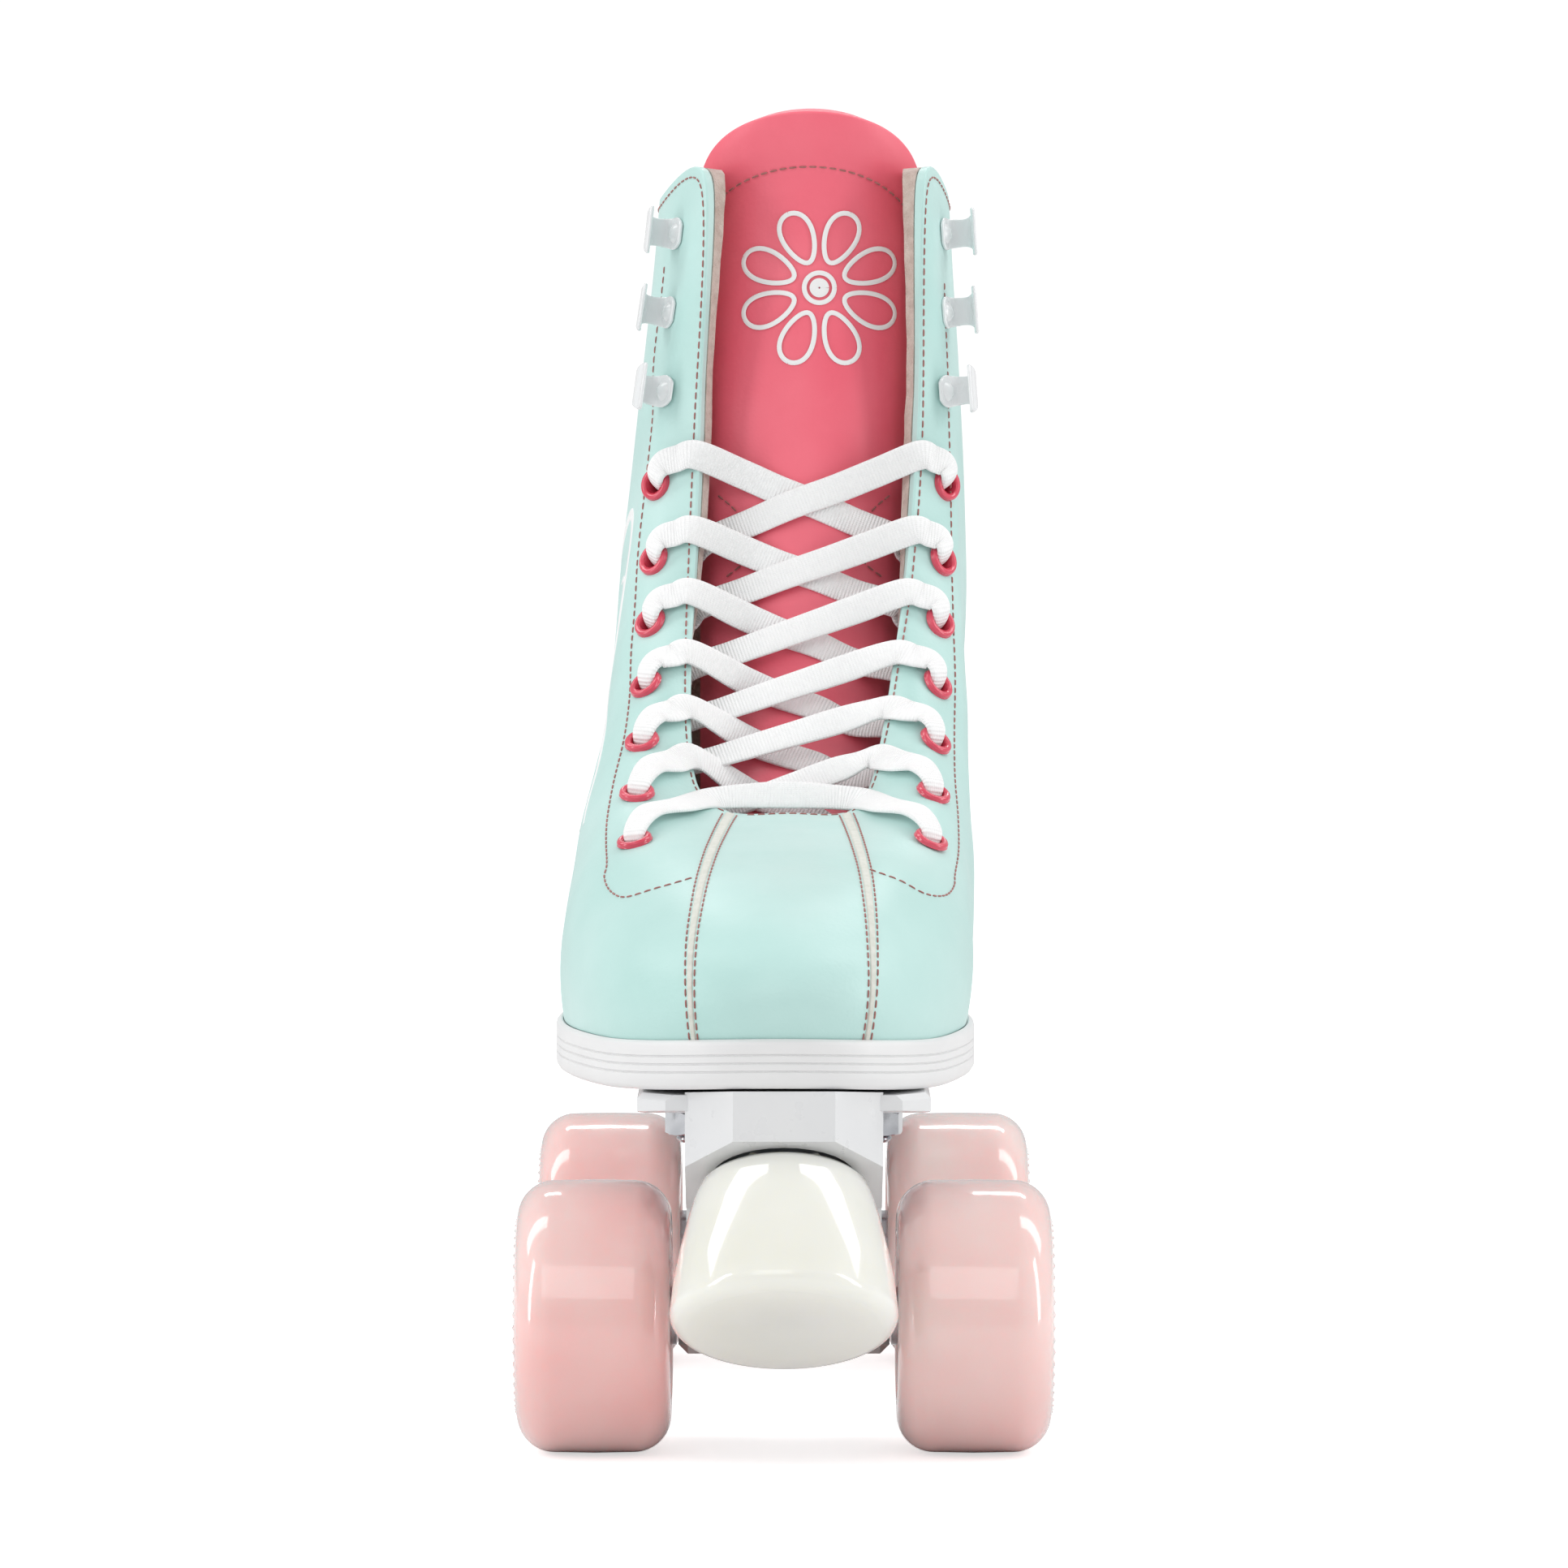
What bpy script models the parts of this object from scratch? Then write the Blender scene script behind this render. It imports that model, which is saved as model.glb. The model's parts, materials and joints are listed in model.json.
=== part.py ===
"""A quad roller skate for the right foot: lace-up high-top boot, nylon plate, two steering trucks,
four wheels and a toe stop, as separate sub-parts.

Units are metres. The toe points along -Y, +X is the inner (medial) side of the foot and +Z is up.
Places below are written from the front axle: y = 0 is the front axle and z = 0 is the floor. The
empty "skate" then moves everything, so that the origin lies under the middle of the whole skate.
"""

import math

import bmesh
import bpy
import numpy as np
from mathutils import Matrix, Vector

MM = 0.001
GAP = 0.3 * MM  # clearance between pieces that touch
LAYER_GAP = 0.8 * MM  # clearance between curved layers of the boot
INTO = 1.0 * MM  # how far joined shapes run into each other

# Wheels, bearings and axles
WHEELBASE = 152 * MM
WHEEL_DIAMETER = 58 * MM
WHEEL_WIDTH = 33 * MM
TRACK = 81 * MM  # from wheel centre to wheel centre
SHOULDER = 8 * MM
HUB_RADIUS = 16 * MM
HUB_WIDTH = 21 * MM
BEARING_OD = 22 * MM
BEARING_BORE = 8 * MM
BEARING_WIDTH = 7 * MM
AXLE_NUT_FLATS = 13 * MM
AXLE_NUT_HEIGHT = 5.6 * MM

# Trucks. "out" is the distance from the axle toward the near end of the skate.
STEER_TILT = math.radians(18)
RING_OUT = -24 * MM
RING_Z = 41.5 * MM
RING_RADIUS = 13 * MM
RING_HALF = 3 * MM
RING_HOLE = 6.3 * MM
HANGER_WIDTH = 45 * MM
BEAM_DEPTH = 14 * MM
BEAM_HEIGHT = 15 * MM
WEB_WIDTH = 14 * MM
PIVOT_REACH = 43 * MM  # from the ring centre to the pivot tip, along the steering axis
PIVOT_RADIUS = 4.5 * MM
CUP_WALL = 2 * MM
CUSHION_RADIUS = 11 * MM
UPPER_CUSHION = 10.4 * MM
LOWER_CUSHION = 8.7 * MM
WASHER_THICKNESS = 1.5 * MM
KINGPIN_RADIUS = 4.75 * MM
KINGPIN_HEAD_FLATS = 16 * MM
KINGPIN_HEAD_HEIGHT = 7 * MM
KINGPIN_IN_PLATE = 16 * MM
BOSS_RADIUS = 12 * MM

# Plate
FLANGE = 6.5 * MM
FLANGE_WIDTH = 61 * MM
WAIST_WIDTH = 42 * MM
HOUSING_WIDTH = 41 * MM
HOUSING_CHAMFER = 10 * MM
PLATE_FRONT = -50 * MM
PLATE_BACK_OVERHANG = 34 * MM  # behind the rear axle
SPINE_WIDTH = 38 * MM
SPINE_BOTTOM = 70 * MM
BOLT_X = 20 * MM
BOLT_IN = 4 * MM  # inboard of each axle
BOLT_RADIUS = 3 * MM
BOLT_HEAD_RADIUS = 4.2 * MM
BOLT_HEAD = 2 * MM
BOLT_TAIL = 8.5 * MM  # below the plate's flange
BOLT_NUT_FLATS = 10 * MM
BOLT_WASHER_RADIUS = 7.4 * MM

# Toe stop, along its stem's axis from the ground face
STOP_FACE = Vector((0, -61.7 * MM, 33.6 * MM))
STOP_AXIS = Vector((0, 0.5, math.sqrt(0.75)))
STOP_RADIUS = 23.5 * MM
STOP_RIM = 3.5 * MM
STOP_TOP_RADIUS = 17.5 * MM
STOP_HEIGHT = 33.35 * MM
STOP_STEM_RADIUS = 7.9 * MM
STOP_STEM_START = 9 * MM
STOP_STEM_END = 49.85 * MM
STOP_NUT_FLATS = 24 * MM
STOP_NUT_HEIGHT = 5.5 * MM
STOP_POCKET_RADIUS = 15 * MM  # in the plate, around the nut
NOSE_AHEAD, NOSE_BEHIND = 18 * MM, 15.7 * MM  # how far the plate's nose goes past the stem, along its lip
TAPER_FROM, TAPER_TO, TAPER = -20 * MM, -60 * MM, 4.4 * MM  # the flange's front thins out from below

# Boot. Layers are depths below the outer surface.
SOLE_TOP = 91 * MM
HEEL_RISE = 21 * MM
RISE_FROM, RISE_TO = 55 * MM, 122 * MM
TOE_SPRING = 2 * MM
SOLE_THICKNESS = 9 * MM
SOLE_EDGE = 1.5 * MM
PLATE_TOP = SOLE_TOP - LAYER_GAP - SOLE_THICKNESS - GAP
HEEL_BLOCK_FROM = 6.5  # row of the rib where the heel block begins
LEATHER = 1.8 * MM
STIFFENER = 0.6 * MM
LINING = 2.5 * MM
STIFFENER_DEPTH = LEATHER + LAYER_GAP
LINING_DEPTH = STIFFENER_DEPTH + STIFFENER + LAYER_GAP + GAP
INSIDE_DEPTH = LINING_DEPTH + LINING
FOOTBED = 4 * MM
TONGUE = 5 * MM
SEAM_ROW = 1

# Each rib of the upper runs from the sole's edge (a), by two handles (b, c), to the opening's
# edge (d). One row gives the outer and the inner side's rib: widths of both, then y and z. The
# sole's edge takes its z from the sole. Millimetres.
RIBS = [
    # a: x out, x in, y   b: x out, x in, y, z    c: x out, x in, y, z       d: x out, x in, y, z
    ((-1, -1, -60), (0, 0, -70, 112), (1, 1, -38, 127.5), (1, 1, 44, 134.5)),
    ((-18.5, 17, -54), (-21, 20, -63, 112), (-18, 18, -32, 128), (-11.5, 13.5, 44.5, 134.6)),
    ((-34, 30, -37), (-39, 35, -41, 112), (-34, 31, 0, 133), (-18.5, 18.5, 51, 139.5)),
    ((-43.5, 37, -12), (-49, 43, -12, 110), (-42, 38, 26, 139), (-20.3, 21.5, 62, 151)),
    ((-47.3, 39.3, 15), (-51, 43, 18, 110), (-44, 41, 54, 146), (-20.5, 24.5, 76, 168)),
    ((-46.5, 38, 45), (-50, 45, 50, 118), (-42, 43, 84, 160), (-20, 28, 89, 190)),
    ((-41, 33.5, 75), (-47, 45, 82, 128), (-38, 43, 106, 190), (-19, 30.5, 99, 222)),
    ((-36, 31, 105), (-47, 46, 110, 138), (-34, 42, 118, 210), (-18, 32, 103, 275)),
    ((-33, 31.5, 135), (-48, 46, 138, 140), (-34, 42, 135, 205), (-28.5, 38, 132, 272)),
    ((-28, 28, 165), (-39, 40, 168, 140), (-30, 36, 158, 205), (-24, 33, 163, 270)),
    ((-14, 17, 184), (-18, 22, 191, 138), (-14, 23, 173, 205), (-9, 19, 181, 271)),
    ((2, 2, 188.5), (2.5, 2.5, 196, 138), (4, 4, 172, 205), (5, 5, 186, 272)),
]
LAST_ROW = len(RIBS) - 1

# Eyelets and lace hooks by the x and z of their centres, from the lowest up. Millimetres.
EYELETS = {
    "lateral": [(-32, 130), (-32, 139), (-31.3, 149.5), (-30.7, 161.5), (-30, 175), (-29.3, 189),
                (-29, 206)],
    "medial": [(31.5, 130), (32.5, 139), (33.4, 149.5), (34.2, 161.5), (35, 175), (35.8, 189),
               (36.8, 206)],
}
HOOKS = {
    "lateral": [(-27, 227), (-25.8, 245), (-24.3, 263)],
    "medial": [(36.6, 227), (36.6, 245), (36.4, 263)],
}
EYELET_HOLE = 2.6 * MM
EYELET_BARREL = 3.2 * MM
EYELET_FLANGE = 4.4 * MM
EYELET_RIM = 0.8 * MM
STRIP_FROM, STRIP_TO = 4, 8  # rings of the layers that the strip under the eyelets spans
HOOK_BASE_RADIUS = 3.4 * MM
HOOK_STEM_RADIUS = 2.2 * MM
HOOK_REACH = 7.5 * MM
HOOK_LIP = (5.5 * MM, 10 * MM, 1.5 * MM)

# Tongue: y and z of its front, from inside the toe box to the top. Millimetres.
TONGUE_PROFILE = [(26, 118.5), (42, 123.5), (55, 131), (67, 142.5), (79.5, 158), (90.5, 177),
                  (98, 198), (103, 222), (106.8, 246), (109.7, 268), (105.7, 290.5)]
TONGUE_X = (1, 6)  # x of the middle at the bottom and at the top
TONGUE_HALF_WIDTH = [19, 22, 25.5]  # bottom, middle, top
TONGUE_BEND = 33 * MM  # radius of the tongue across its width
TONGUE_TOP_DROP = 0.075  # share of the length by which the top's corners are lower

# Lace
LACE_RADIUS = 1.1 * MM
LACE_LEAVES = 8 * MM  # how far above its eyelet a strand comes out from under the facing
LACE_ARRIVES = 3 * MM  # how far above its eyelet a strand goes over the facing's edge
LACE_TAIL = [(0, -3), (-2, -18), (3, -45), (6, -75)]  # hanging inside: toward the middle, and down

FRONT_Y = STOP_FACE.y + STOP_RIM * STOP_AXIS.y - (STOP_RADIUS - STOP_RIM) * STOP_AXIS.z - STOP_RIM
BACK_Y = RIBS[LAST_ROW][0][2] * MM + SOLE_EDGE
CENTRE_Y = 0.5 * (FRONT_Y + BACK_Y)

WHITE = (0.87, 0.88, 0.87)
COLOURS = {
    "boot_leather": ((0.50, 0.73, 0.69), 0.45, 0.0),
    "tongue_leather": ((0.93, 0.16, 0.22), 0.45, 0.0),
    "lining_fabric": ((0.58, 0.43, 0.36), 0.95, 0.0),
    "footbed_foam": ((0.60, 0.58, 0.55), 0.95, 0.0),
    "stiffener_board": ((0.55, 0.48, 0.40), 0.9, 0.0),
    "sole_white": ((0.86, 0.86, 0.86), 0.4, 0.0),
    "plate_white": ((0.84, 0.85, 0.85), 0.35, 0.0),
    "wheel_pink": ((0.86, 0.52, 0.49), 0.2, 0.0),
    "hub_white": ((0.85, 0.83, 0.82), 0.4, 0.0),
    "stop_rubber": ((0.83, 0.83, 0.77), 0.25, 0.0),
    "truck_aluminium": ((0.62, 0.62, 0.62), 0.35, 1.0),
    "zinc_steel": ((0.65, 0.66, 0.67), 0.25, 1.0),
    "bearing_steel": ((0.60, 0.61, 0.62), 0.3, 1.0),
    "cushion_urethane": ((0.86, 0.52, 0.49), 0.45, 0.0),
    "cup_rubber": ((0.05, 0.05, 0.05), 0.7, 0.0),
    "eyelet_coral": ((0.72, 0.06, 0.12), 0.3, 0.0),
    "hook_white": (WHITE, 0.3, 0.0),
    "lace_white": (WHITE, 0.85, 0.0),
}

for leftover in list(bpy.data.objects):
    bpy.data.objects.remove(leftover, do_unlink=True)
PARTS = bpy.data.collections.new("quad_roller_skate")
CUTTERS = bpy.data.collections.new("cutters")
bpy.context.scene.collection.children.link(PARTS)
bpy.context.scene.collection.children.link(CUTTERS)


def make_material(name):
    colour, roughness, metallic = COLOURS[name]
    material = bpy.data.materials.new(name)
    material.use_nodes = True
    shader = material.node_tree.nodes["Principled BSDF"]
    shader.inputs["Base Color"].default_value = (*colour, 1)
    shader.inputs["Roughness"].default_value = roughness
    shader.inputs["Metallic"].default_value = metallic
    return material


MATERIALS = {name: make_material(name) for name in COLOURS}


# ---- helpers that make objects ----------------------------------------------------------------


def empty(name, location, parent=None, turn=0.0):
    obj = bpy.data.objects.new(name, None)
    obj.empty_display_size = 0.02
    obj.location = location
    obj.rotation_euler = (0, 0, turn)
    obj.parent = parent
    PARTS.objects.link(obj)
    return obj


SKATE = empty("skate", (0, -CENTRE_Y, 0))


def place(name, mesh, material=None, parent=SKATE, location=(0, 0, 0), axis=None):
    """A new object. Without a material it is a cutter. Its local Z is turned along axis."""
    obj = bpy.data.objects.new(name, mesh)
    obj.parent = parent
    obj.location = location
    if axis is not None:
        obj.rotation_mode = "QUATERNION"
        obj.rotation_quaternion = Vector(axis).to_track_quat("Z", "Y")
    if material is None:
        CUTTERS.objects.link(obj)
        obj.hide_render = True
        obj.display_type = "WIRE"
    else:
        PARTS.objects.link(obj)
        obj.data.materials.append(MATERIALS[material])
    return obj


def mesh_from(build):
    """The mesh that build(bm) makes, with its faces outward."""
    bm = bmesh.new()
    build(bm)
    bmesh.ops.recalc_face_normals(bm, faces=bm.faces[:])
    mesh = bpy.data.meshes.new("solid")
    bm.to_mesh(mesh)
    bm.free()
    return mesh


def rod_mesh(radius, start, end, segments=24):
    """A cylinder along local Z from start to end. With six segments it is a nut."""

    def build(bm):
        bmesh.ops.create_cone(
            bm,
            cap_ends=True,
            segments=segments,
            radius1=radius,
            radius2=radius,
            depth=end - start,
            matrix=Matrix.Translation((0, 0, 0.5 * (start + end))),
        )

    return mesh_from(build)


def box_mesh(low, high):
    def build(bm):
        size = Vector(high) - Vector(low)
        middle = 0.5 * (Vector(high) + Vector(low))
        bmesh.ops.create_cube(bm, size=1, matrix=Matrix.Translation(middle) @ Matrix.Diagonal((*size, 1)))

    return mesh_from(build)


def hexagon_radius(flats):
    return flats / math.sqrt(3)


def turned(name, profile, material=None, segments=28, closed=True, **where):
    """A profile of (radius, height) pairs turned about local Z with a Screw modifier."""
    area = sum(a[0] * b[1] - b[0] * a[1] for a, b in zip(profile, profile[1:] + profile[:1]))
    if area > 0:  # a Screw faces outward where the profile runs down its outer side
        profile = profile[::-1]
    points = [(radius, 0, height) for radius, height in profile]
    edges = [(i, i + 1) for i in range(len(points) - 1)]
    if closed:
        edges.append((len(points) - 1, 0))
    mesh = bpy.data.meshes.new("profile")
    mesh.from_pydata(points, edges, [])
    obj = place(name, mesh, material, **where)
    screw = obj.modifiers.new("Screw", "SCREW")
    screw.steps = screw.render_steps = segments
    screw.use_merge_vertices = True
    screw.merge_threshold = 0.00001
    return obj


def flat_outline(name, points, thickness, material=None, **where):
    """A flat outline with an even thickness, as a mesh in the outline's own plane."""
    curve = bpy.data.curves.new(name, "CURVE")
    curve.dimensions = "2D"
    curve.fill_mode = "BOTH"
    curve.extrude = 0.5 * thickness
    spline = curve.splines.new("POLY")
    spline.points.add(len(points) - 1)
    for point, (x, y) in zip(spline.points, points):
        point.co = (x, y, 0, 1)
    spline.use_cyclic_u = True
    sketch = bpy.data.objects.new(name + "_outline", curve)
    CUTTERS.objects.link(sketch)
    obj = place(name, mesh_of(sketch), material, **where)
    bpy.data.objects.remove(sketch)
    return obj


def mesh_of(obj):
    """The object's evaluated mesh, with a curve's loose caps welded."""
    graph = bpy.context.evaluated_depsgraph_get()
    mesh = bpy.data.meshes.new_from_object(obj.evaluated_get(graph))
    bm = bmesh.new()
    bm.from_mesh(mesh)
    bmesh.ops.remove_doubles(bm, verts=bm.verts, dist=0.000001)
    bmesh.ops.recalc_face_normals(bm, faces=bm.faces[:])
    bm.to_mesh(mesh)
    bm.free()
    return mesh


def combine(obj, other, operation):
    modifier = obj.modifiers.new(other.name, "BOOLEAN")
    modifier.operation = operation
    modifier.object = other
    return obj


def cut(obj, *cutters):
    for cutter in cutters:
        combine(obj, cutter, "DIFFERENCE")


def join(obj, *others):
    for other in others:
        combine(obj, other, "UNION")


def bevel(obj, width, segments=1, angle=30):
    modifier = obj.modifiers.new("Bevel", "BEVEL")
    modifier.width = width
    modifier.segments = segments
    modifier.limit_method = "ANGLE"
    modifier.angle_limit = math.radians(angle)
    return obj


def smooth_values(values, at):
    """A smooth curve (Catmull-Rom) through values[0], values[1] ... at the position at."""
    last = len(values) - 1
    i = min(max(int(math.floor(at)), 0), last - 1)
    f = at - i
    p1, p2 = values[i], values[i + 1]
    p0 = values[i - 1] if i > 0 else 2 * p1 - p2
    p3 = values[i + 2] if i + 2 <= last else 2 * p2 - p1
    return 0.5 * (
        2 * p1 + (p2 - p0) * f + (2 * p0 - 5 * p1 + 4 * p2 - p3) * f**2 + (3 * p1 - p0 - 3 * p2 + p3) * f**3
    )


def smoothstep(value, low, high):
    f = min(max((value - low) / (high - low), 0), 1)
    return f * f * (3 - 2 * f)


# ---- the upper's surface ------------------------------------------------------------------------


def sole_height(y):
    """z of the sole's top edge: level under the forefoot, up to the heel, a little up at the toe."""
    toe = max(0.0, (-0.030 - y) / 0.030)
    return SOLE_TOP + HEEL_RISE * smoothstep(y, RISE_FROM, RISE_TO) + TOE_SPRING * toe**2


def rib_point(row, side, which):
    """One of the four points of a rib, for the row's whole number and side 0 (outer) or 1 (inner)."""
    values = RIBS[row][which]
    y = values[2] * MM
    z = values[3] * MM if which else sole_height(y)
    return np.array([values[side] * MM, y, z])


def loop_values(which):
    """Points of one loop from the inner side's heel, by the toe, to the outer side's heel and on."""
    inner = [rib_point(row, 1, which) for row in range(LAST_ROW, 0, -1)]
    outer = [rib_point(row, 0, which) for row in range(0, LAST_ROW + 1)]
    whole = inner + outer
    before = outer[-2]
    after = inner[1]
    return [before] + whole + [after]


LOOPS = [loop_values(which) for which in range(4)]


def surface(row, v):
    """Point of the outer surface. row < 0 is the inner side, > 0 the outer side; v is 0 to 1."""
    at = (row + LAST_ROW) % (2 * LAST_ROW) + 1
    a, b, c, d = (smooth_values(loop, at) for loop in LOOPS)
    a = np.array([a[0], a[1], sole_height(a[1])])
    w = 1 - v
    return w**3 * a + 3 * w * w * v * b + 3 * w * v * v * c + v**3 * d


def outward(row, v):
    """Unit normal of the upper's surface, away from the foot."""
    step = 0.02
    low, high = max(v - step, 0), min(v + step, 1)
    along = surface(row + step, v) - surface(row - step, v)
    up = surface(row, high) - surface(row, low)
    normal = np.cross(up, along)
    return normal / np.linalg.norm(normal)


def layer(row, v, depth):
    """Point at a depth below the outer surface."""
    return surface(row, v) - depth * outward(row, v)


def locate(side, x, z):
    """Row and v of the surface's front where it has this x and z (millimetres)."""
    sign = 1 if side == "lateral" else -1
    best = None
    for row in np.linspace(1.5, 8.5, 60):
        for v in np.linspace(0.3, 0.99, 60):
            point = surface(sign * row, v)
            off = (point[0] - x * MM) ** 2 + (point[2] - z * MM) ** 2
            if best is None or off < best[0]:
                best = (off, sign * row, v)
    _, row, v = best
    for _ in range(8):
        step = 0.01
        here = surface(row, v)[[0, 2]]
        by_row = (surface(row + step, v)[[0, 2]] - here) / step
        by_v = (surface(row, v - step)[[0, 2]] - here) / -step
        move = np.linalg.solve(np.stack([by_row, by_v], axis=1), np.array([x, z]) * MM - here)
        row, v = row + move[0], min(v + move[1], 0.995)
    return row, v


def shell(name, rows, heights, depth, thickness, material):
    """A layer of the upper between two depths, with Solidify. heights(row) gives its values of v."""
    closed = rows[-1] - rows[0] == 2 * LAST_ROW
    if closed:
        rows = rows[:-1]
    points = [layer(row, v, depth) for row in rows for v in heights(row)]
    down = len(heights(rows[0]))
    columns = len(rows)
    faces = []
    for i in range(columns if closed else columns - 1):
        here, following = i * down, ((i + 1) % columns) * down
        for j in range(down - 1):
            faces.append((here + j, here + j + 1, following + j + 1, following + j))
    mesh = bpy.data.meshes.new(name)
    mesh.from_pydata([tuple(point) for point in points], [], faces)
    for polygon in mesh.polygons:
        polygon.use_smooth = True
    obj = place(name, mesh, material)
    solid = obj.modifiers.new("Solidify", "SOLIDIFY")
    solid.thickness = thickness
    solid.offset = -1
    solid.use_even_offset = True
    return obj


def slab(name, first_row, grow, top, bottom, material, steps=2):
    """A slab under the foot with the sole's outline, grown or shrunk, between two heights of y."""
    rows = np.linspace(first_row, LAST_ROW, int((LAST_ROW - first_row) * steps) + 1)

    def edge(row):
        point = surface(row, 0)
        along = surface(row + 0.02, 0) - surface(row - 0.02, 0)
        side = np.array([-along[1], along[0], 0])
        return point + grow * side / np.linalg.norm(side)

    pairs = [(edge(row), edge(-row)) for row in rows]
    if first_row == 0:
        pairs[0] = (pairs[0][0], pairs[0][0])
    pairs[-1] = (pairs[-1][0], pairs[-1][0])

    def build(bm):
        rings = []
        for outer, inner in pairs:
            y = 0.5 * (outer[1] + inner[1])
            ends = [outer] if outer is inner else [outer, inner]
            rings.append([[bm.verts.new((p[0], p[1], height(y))) for p in ends] for height in (top, bottom)])
        for (top_a, low_a), (top_b, low_b) in zip(rings, rings[1:]):
            for caps in ((top_a, top_b), (low_a, low_b)):
                corners = [caps[0][0], caps[1][0], caps[1][-1], caps[0][-1]]
                bm.faces.new(list(dict.fromkeys(corners)))
            bm.faces.new([top_a[0], top_b[0], low_b[0], low_a[0]])
            bm.faces.new([top_a[-1], top_b[-1], low_b[-1], low_a[-1]])
        top_a, low_a = rings[0]
        if len(top_a) == 2:
            bm.faces.new([top_a[0], top_a[1], low_a[1], low_a[0]])

    return place(name, mesh_from(build), material)


# ---- boot ---------------------------------------------------------------------------------------


def hole_cutter(name, spots, radius, segments=12):
    """One cutter with a round bar through the upper at each spot."""

    def build(bm):
        for row, v in spots:
            normal = Vector(outward(row, v))
            turn = normal.to_track_quat("Z", "Y").to_matrix().to_4x4()
            bmesh.ops.create_cone(
                bm,
                cap_ends=True,
                segments=segments,
                radius1=radius,
                radius2=radius,
                depth=0.024,
                matrix=Matrix.Translation(surface(row, v)) @ turn,
            )

    return place(name, mesh_from(build))


def whole_height(row):
    """Heights v of a layer's rings, closer together toward the opening, where the boot bends most."""
    return 1 - (1 - np.linspace(0, 1, 10)) ** 1.35


def half_rows(low, high):
    """The two ends, and each half row between them, so that all layers share their edges."""
    first, last = math.ceil(low * 2 + 0.1), math.floor(high * 2 - 0.1)
    return [low] + [0.5 * i for i in range(first, last + 1)] + [high]


def side_rows(side, low, high):
    rows = half_rows(low, high)
    return rows if side == "lateral" else [-row for row in reversed(rows)]


def make_upper(spots, hook_spots):
    seam_gap = 0.02
    heel_gap = 0.015
    toe_rows = half_rows(-SEAM_ROW + seam_gap, SEAM_ROW - seam_gap)
    shell("toe_panel", toe_rows, whole_height, 0, LEATHER, "boot_leather")
    for side in ("lateral", "medial"):
        rows = side_rows(side, SEAM_ROW + seam_gap, LAST_ROW - heel_gap)
        quarter = shell("quarter_" + side, rows, whole_height, 0, LEATHER, "boot_leather")
        cut(quarter, hole_cutter("quarter_holes_" + side, spots[side], EYELET_BARREL + 1.5 * GAP, 8))
        cut(quarter, hole_cutter("hook_holes_" + side, hook_spots[side], HOOK_STEM_RADIUS + GAP))
    counter_rows = half_rows(LAST_ROW - 2.5, LAST_ROW + 2.5)
    shell("heel_counter", counter_rows, lambda row: whole_height(row)[:4], STIFFENER_DEPTH, STIFFENER,
          "stiffener_board")
    lining = shell("lining", half_rows(-LAST_ROW, LAST_ROW), whole_height, LINING_DEPTH, LINING,
                   "lining_fabric")
    for side in ("lateral", "medial"):
        cut(lining, hole_cutter("lining_holes_" + side, spots[side], EYELET_BARREL + 2 * GAP, 8))


def make_sole(bolts):
    def outsole_top(y):
        return sole_height(y) - LAYER_GAP

    def outsole_bottom(y):
        return outsole_top(y) - SOLE_THICKNESS

    def heel_top(y):
        return outsole_bottom(y) - GAP

    outsole = slab("outsole", 0, SOLE_EDGE, outsole_top, outsole_bottom, "sole_white")
    heel_block = slab(
        "heel_block", HEEL_BLOCK_FROM, -0.5 * MM, heel_top, lambda y: PLATE_TOP + GAP, "sole_white"
    )
    slab(
        "footbed",
        0,
        -(INSIDE_DEPTH + 1 * MM),
        lambda y: sole_height(y) + BOLT_HEAD + 2 * GAP + FOOTBED,
        lambda y: sole_height(y) + BOLT_HEAD + 2 * GAP,
        "footbed_foam",
    )
    for name, (x, y) in bolts.items():
        hole = place(name + "_hole", rod_mesh(BOLT_RADIUS + GAP, 0.06, 0.13, 16), location=(x, y, 0))
        cut(outsole, hole)
        if y > RISE_TO:
            cut(heel_block, hole)


def make_tongue():
    """The front of the tongue as an open surface, then Solidify to the back."""
    across = np.linspace(-1, 1, 9)
    stations = np.linspace(0, len(TONGUE_PROFILE) - 1, 16)
    profile = [np.array(point) * MM for point in TONGUE_PROFILE]
    half_widths = [np.array([width * MM]) for width in TONGUE_HALF_WIDTH]
    last = len(TONGUE_PROFILE) - 1
    points = []
    for station in stations:
        f = station / last
        half = smooth_values(half_widths, 2 * f)[0]
        middle = (TONGUE_X[0] + (TONGUE_X[1] - TONGUE_X[0]) * f) * MM
        for s in across:
            corner = 1 - math.sqrt(1 - 0.96 * s * s)
            y, z = smooth_values(profile, last * f * (1 - TONGUE_TOP_DROP * corner))
            angle = s * half / TONGUE_BEND
            back = TONGUE_BEND * (1 - math.cos(angle))
            steep = smoothstep(f, 0.0, 0.6)
            x = middle + TONGUE_BEND * math.sin(angle)
            points.append((x, y + back * (0.35 + 0.65 * steep), z - back * (1 - steep) * 0.8))
    wide = len(across)
    faces = [
        (i * wide + j, (i + 1) * wide + j, (i + 1) * wide + j + 1, i * wide + j + 1)
        for i in range(len(stations) - 1)
        for j in range(wide - 1)
    ]
    mesh = bpy.data.meshes.new("tongue")
    mesh.from_pydata(points, [], faces)
    obj = place("tongue", mesh, "tongue_leather")
    solid = obj.modifiers.new("Solidify", "SOLIDIFY")
    solid.thickness = TONGUE
    solid.offset = 1
    return obj


# ---- eyelets, hooks and lace --------------------------------------------------------------------


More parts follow.
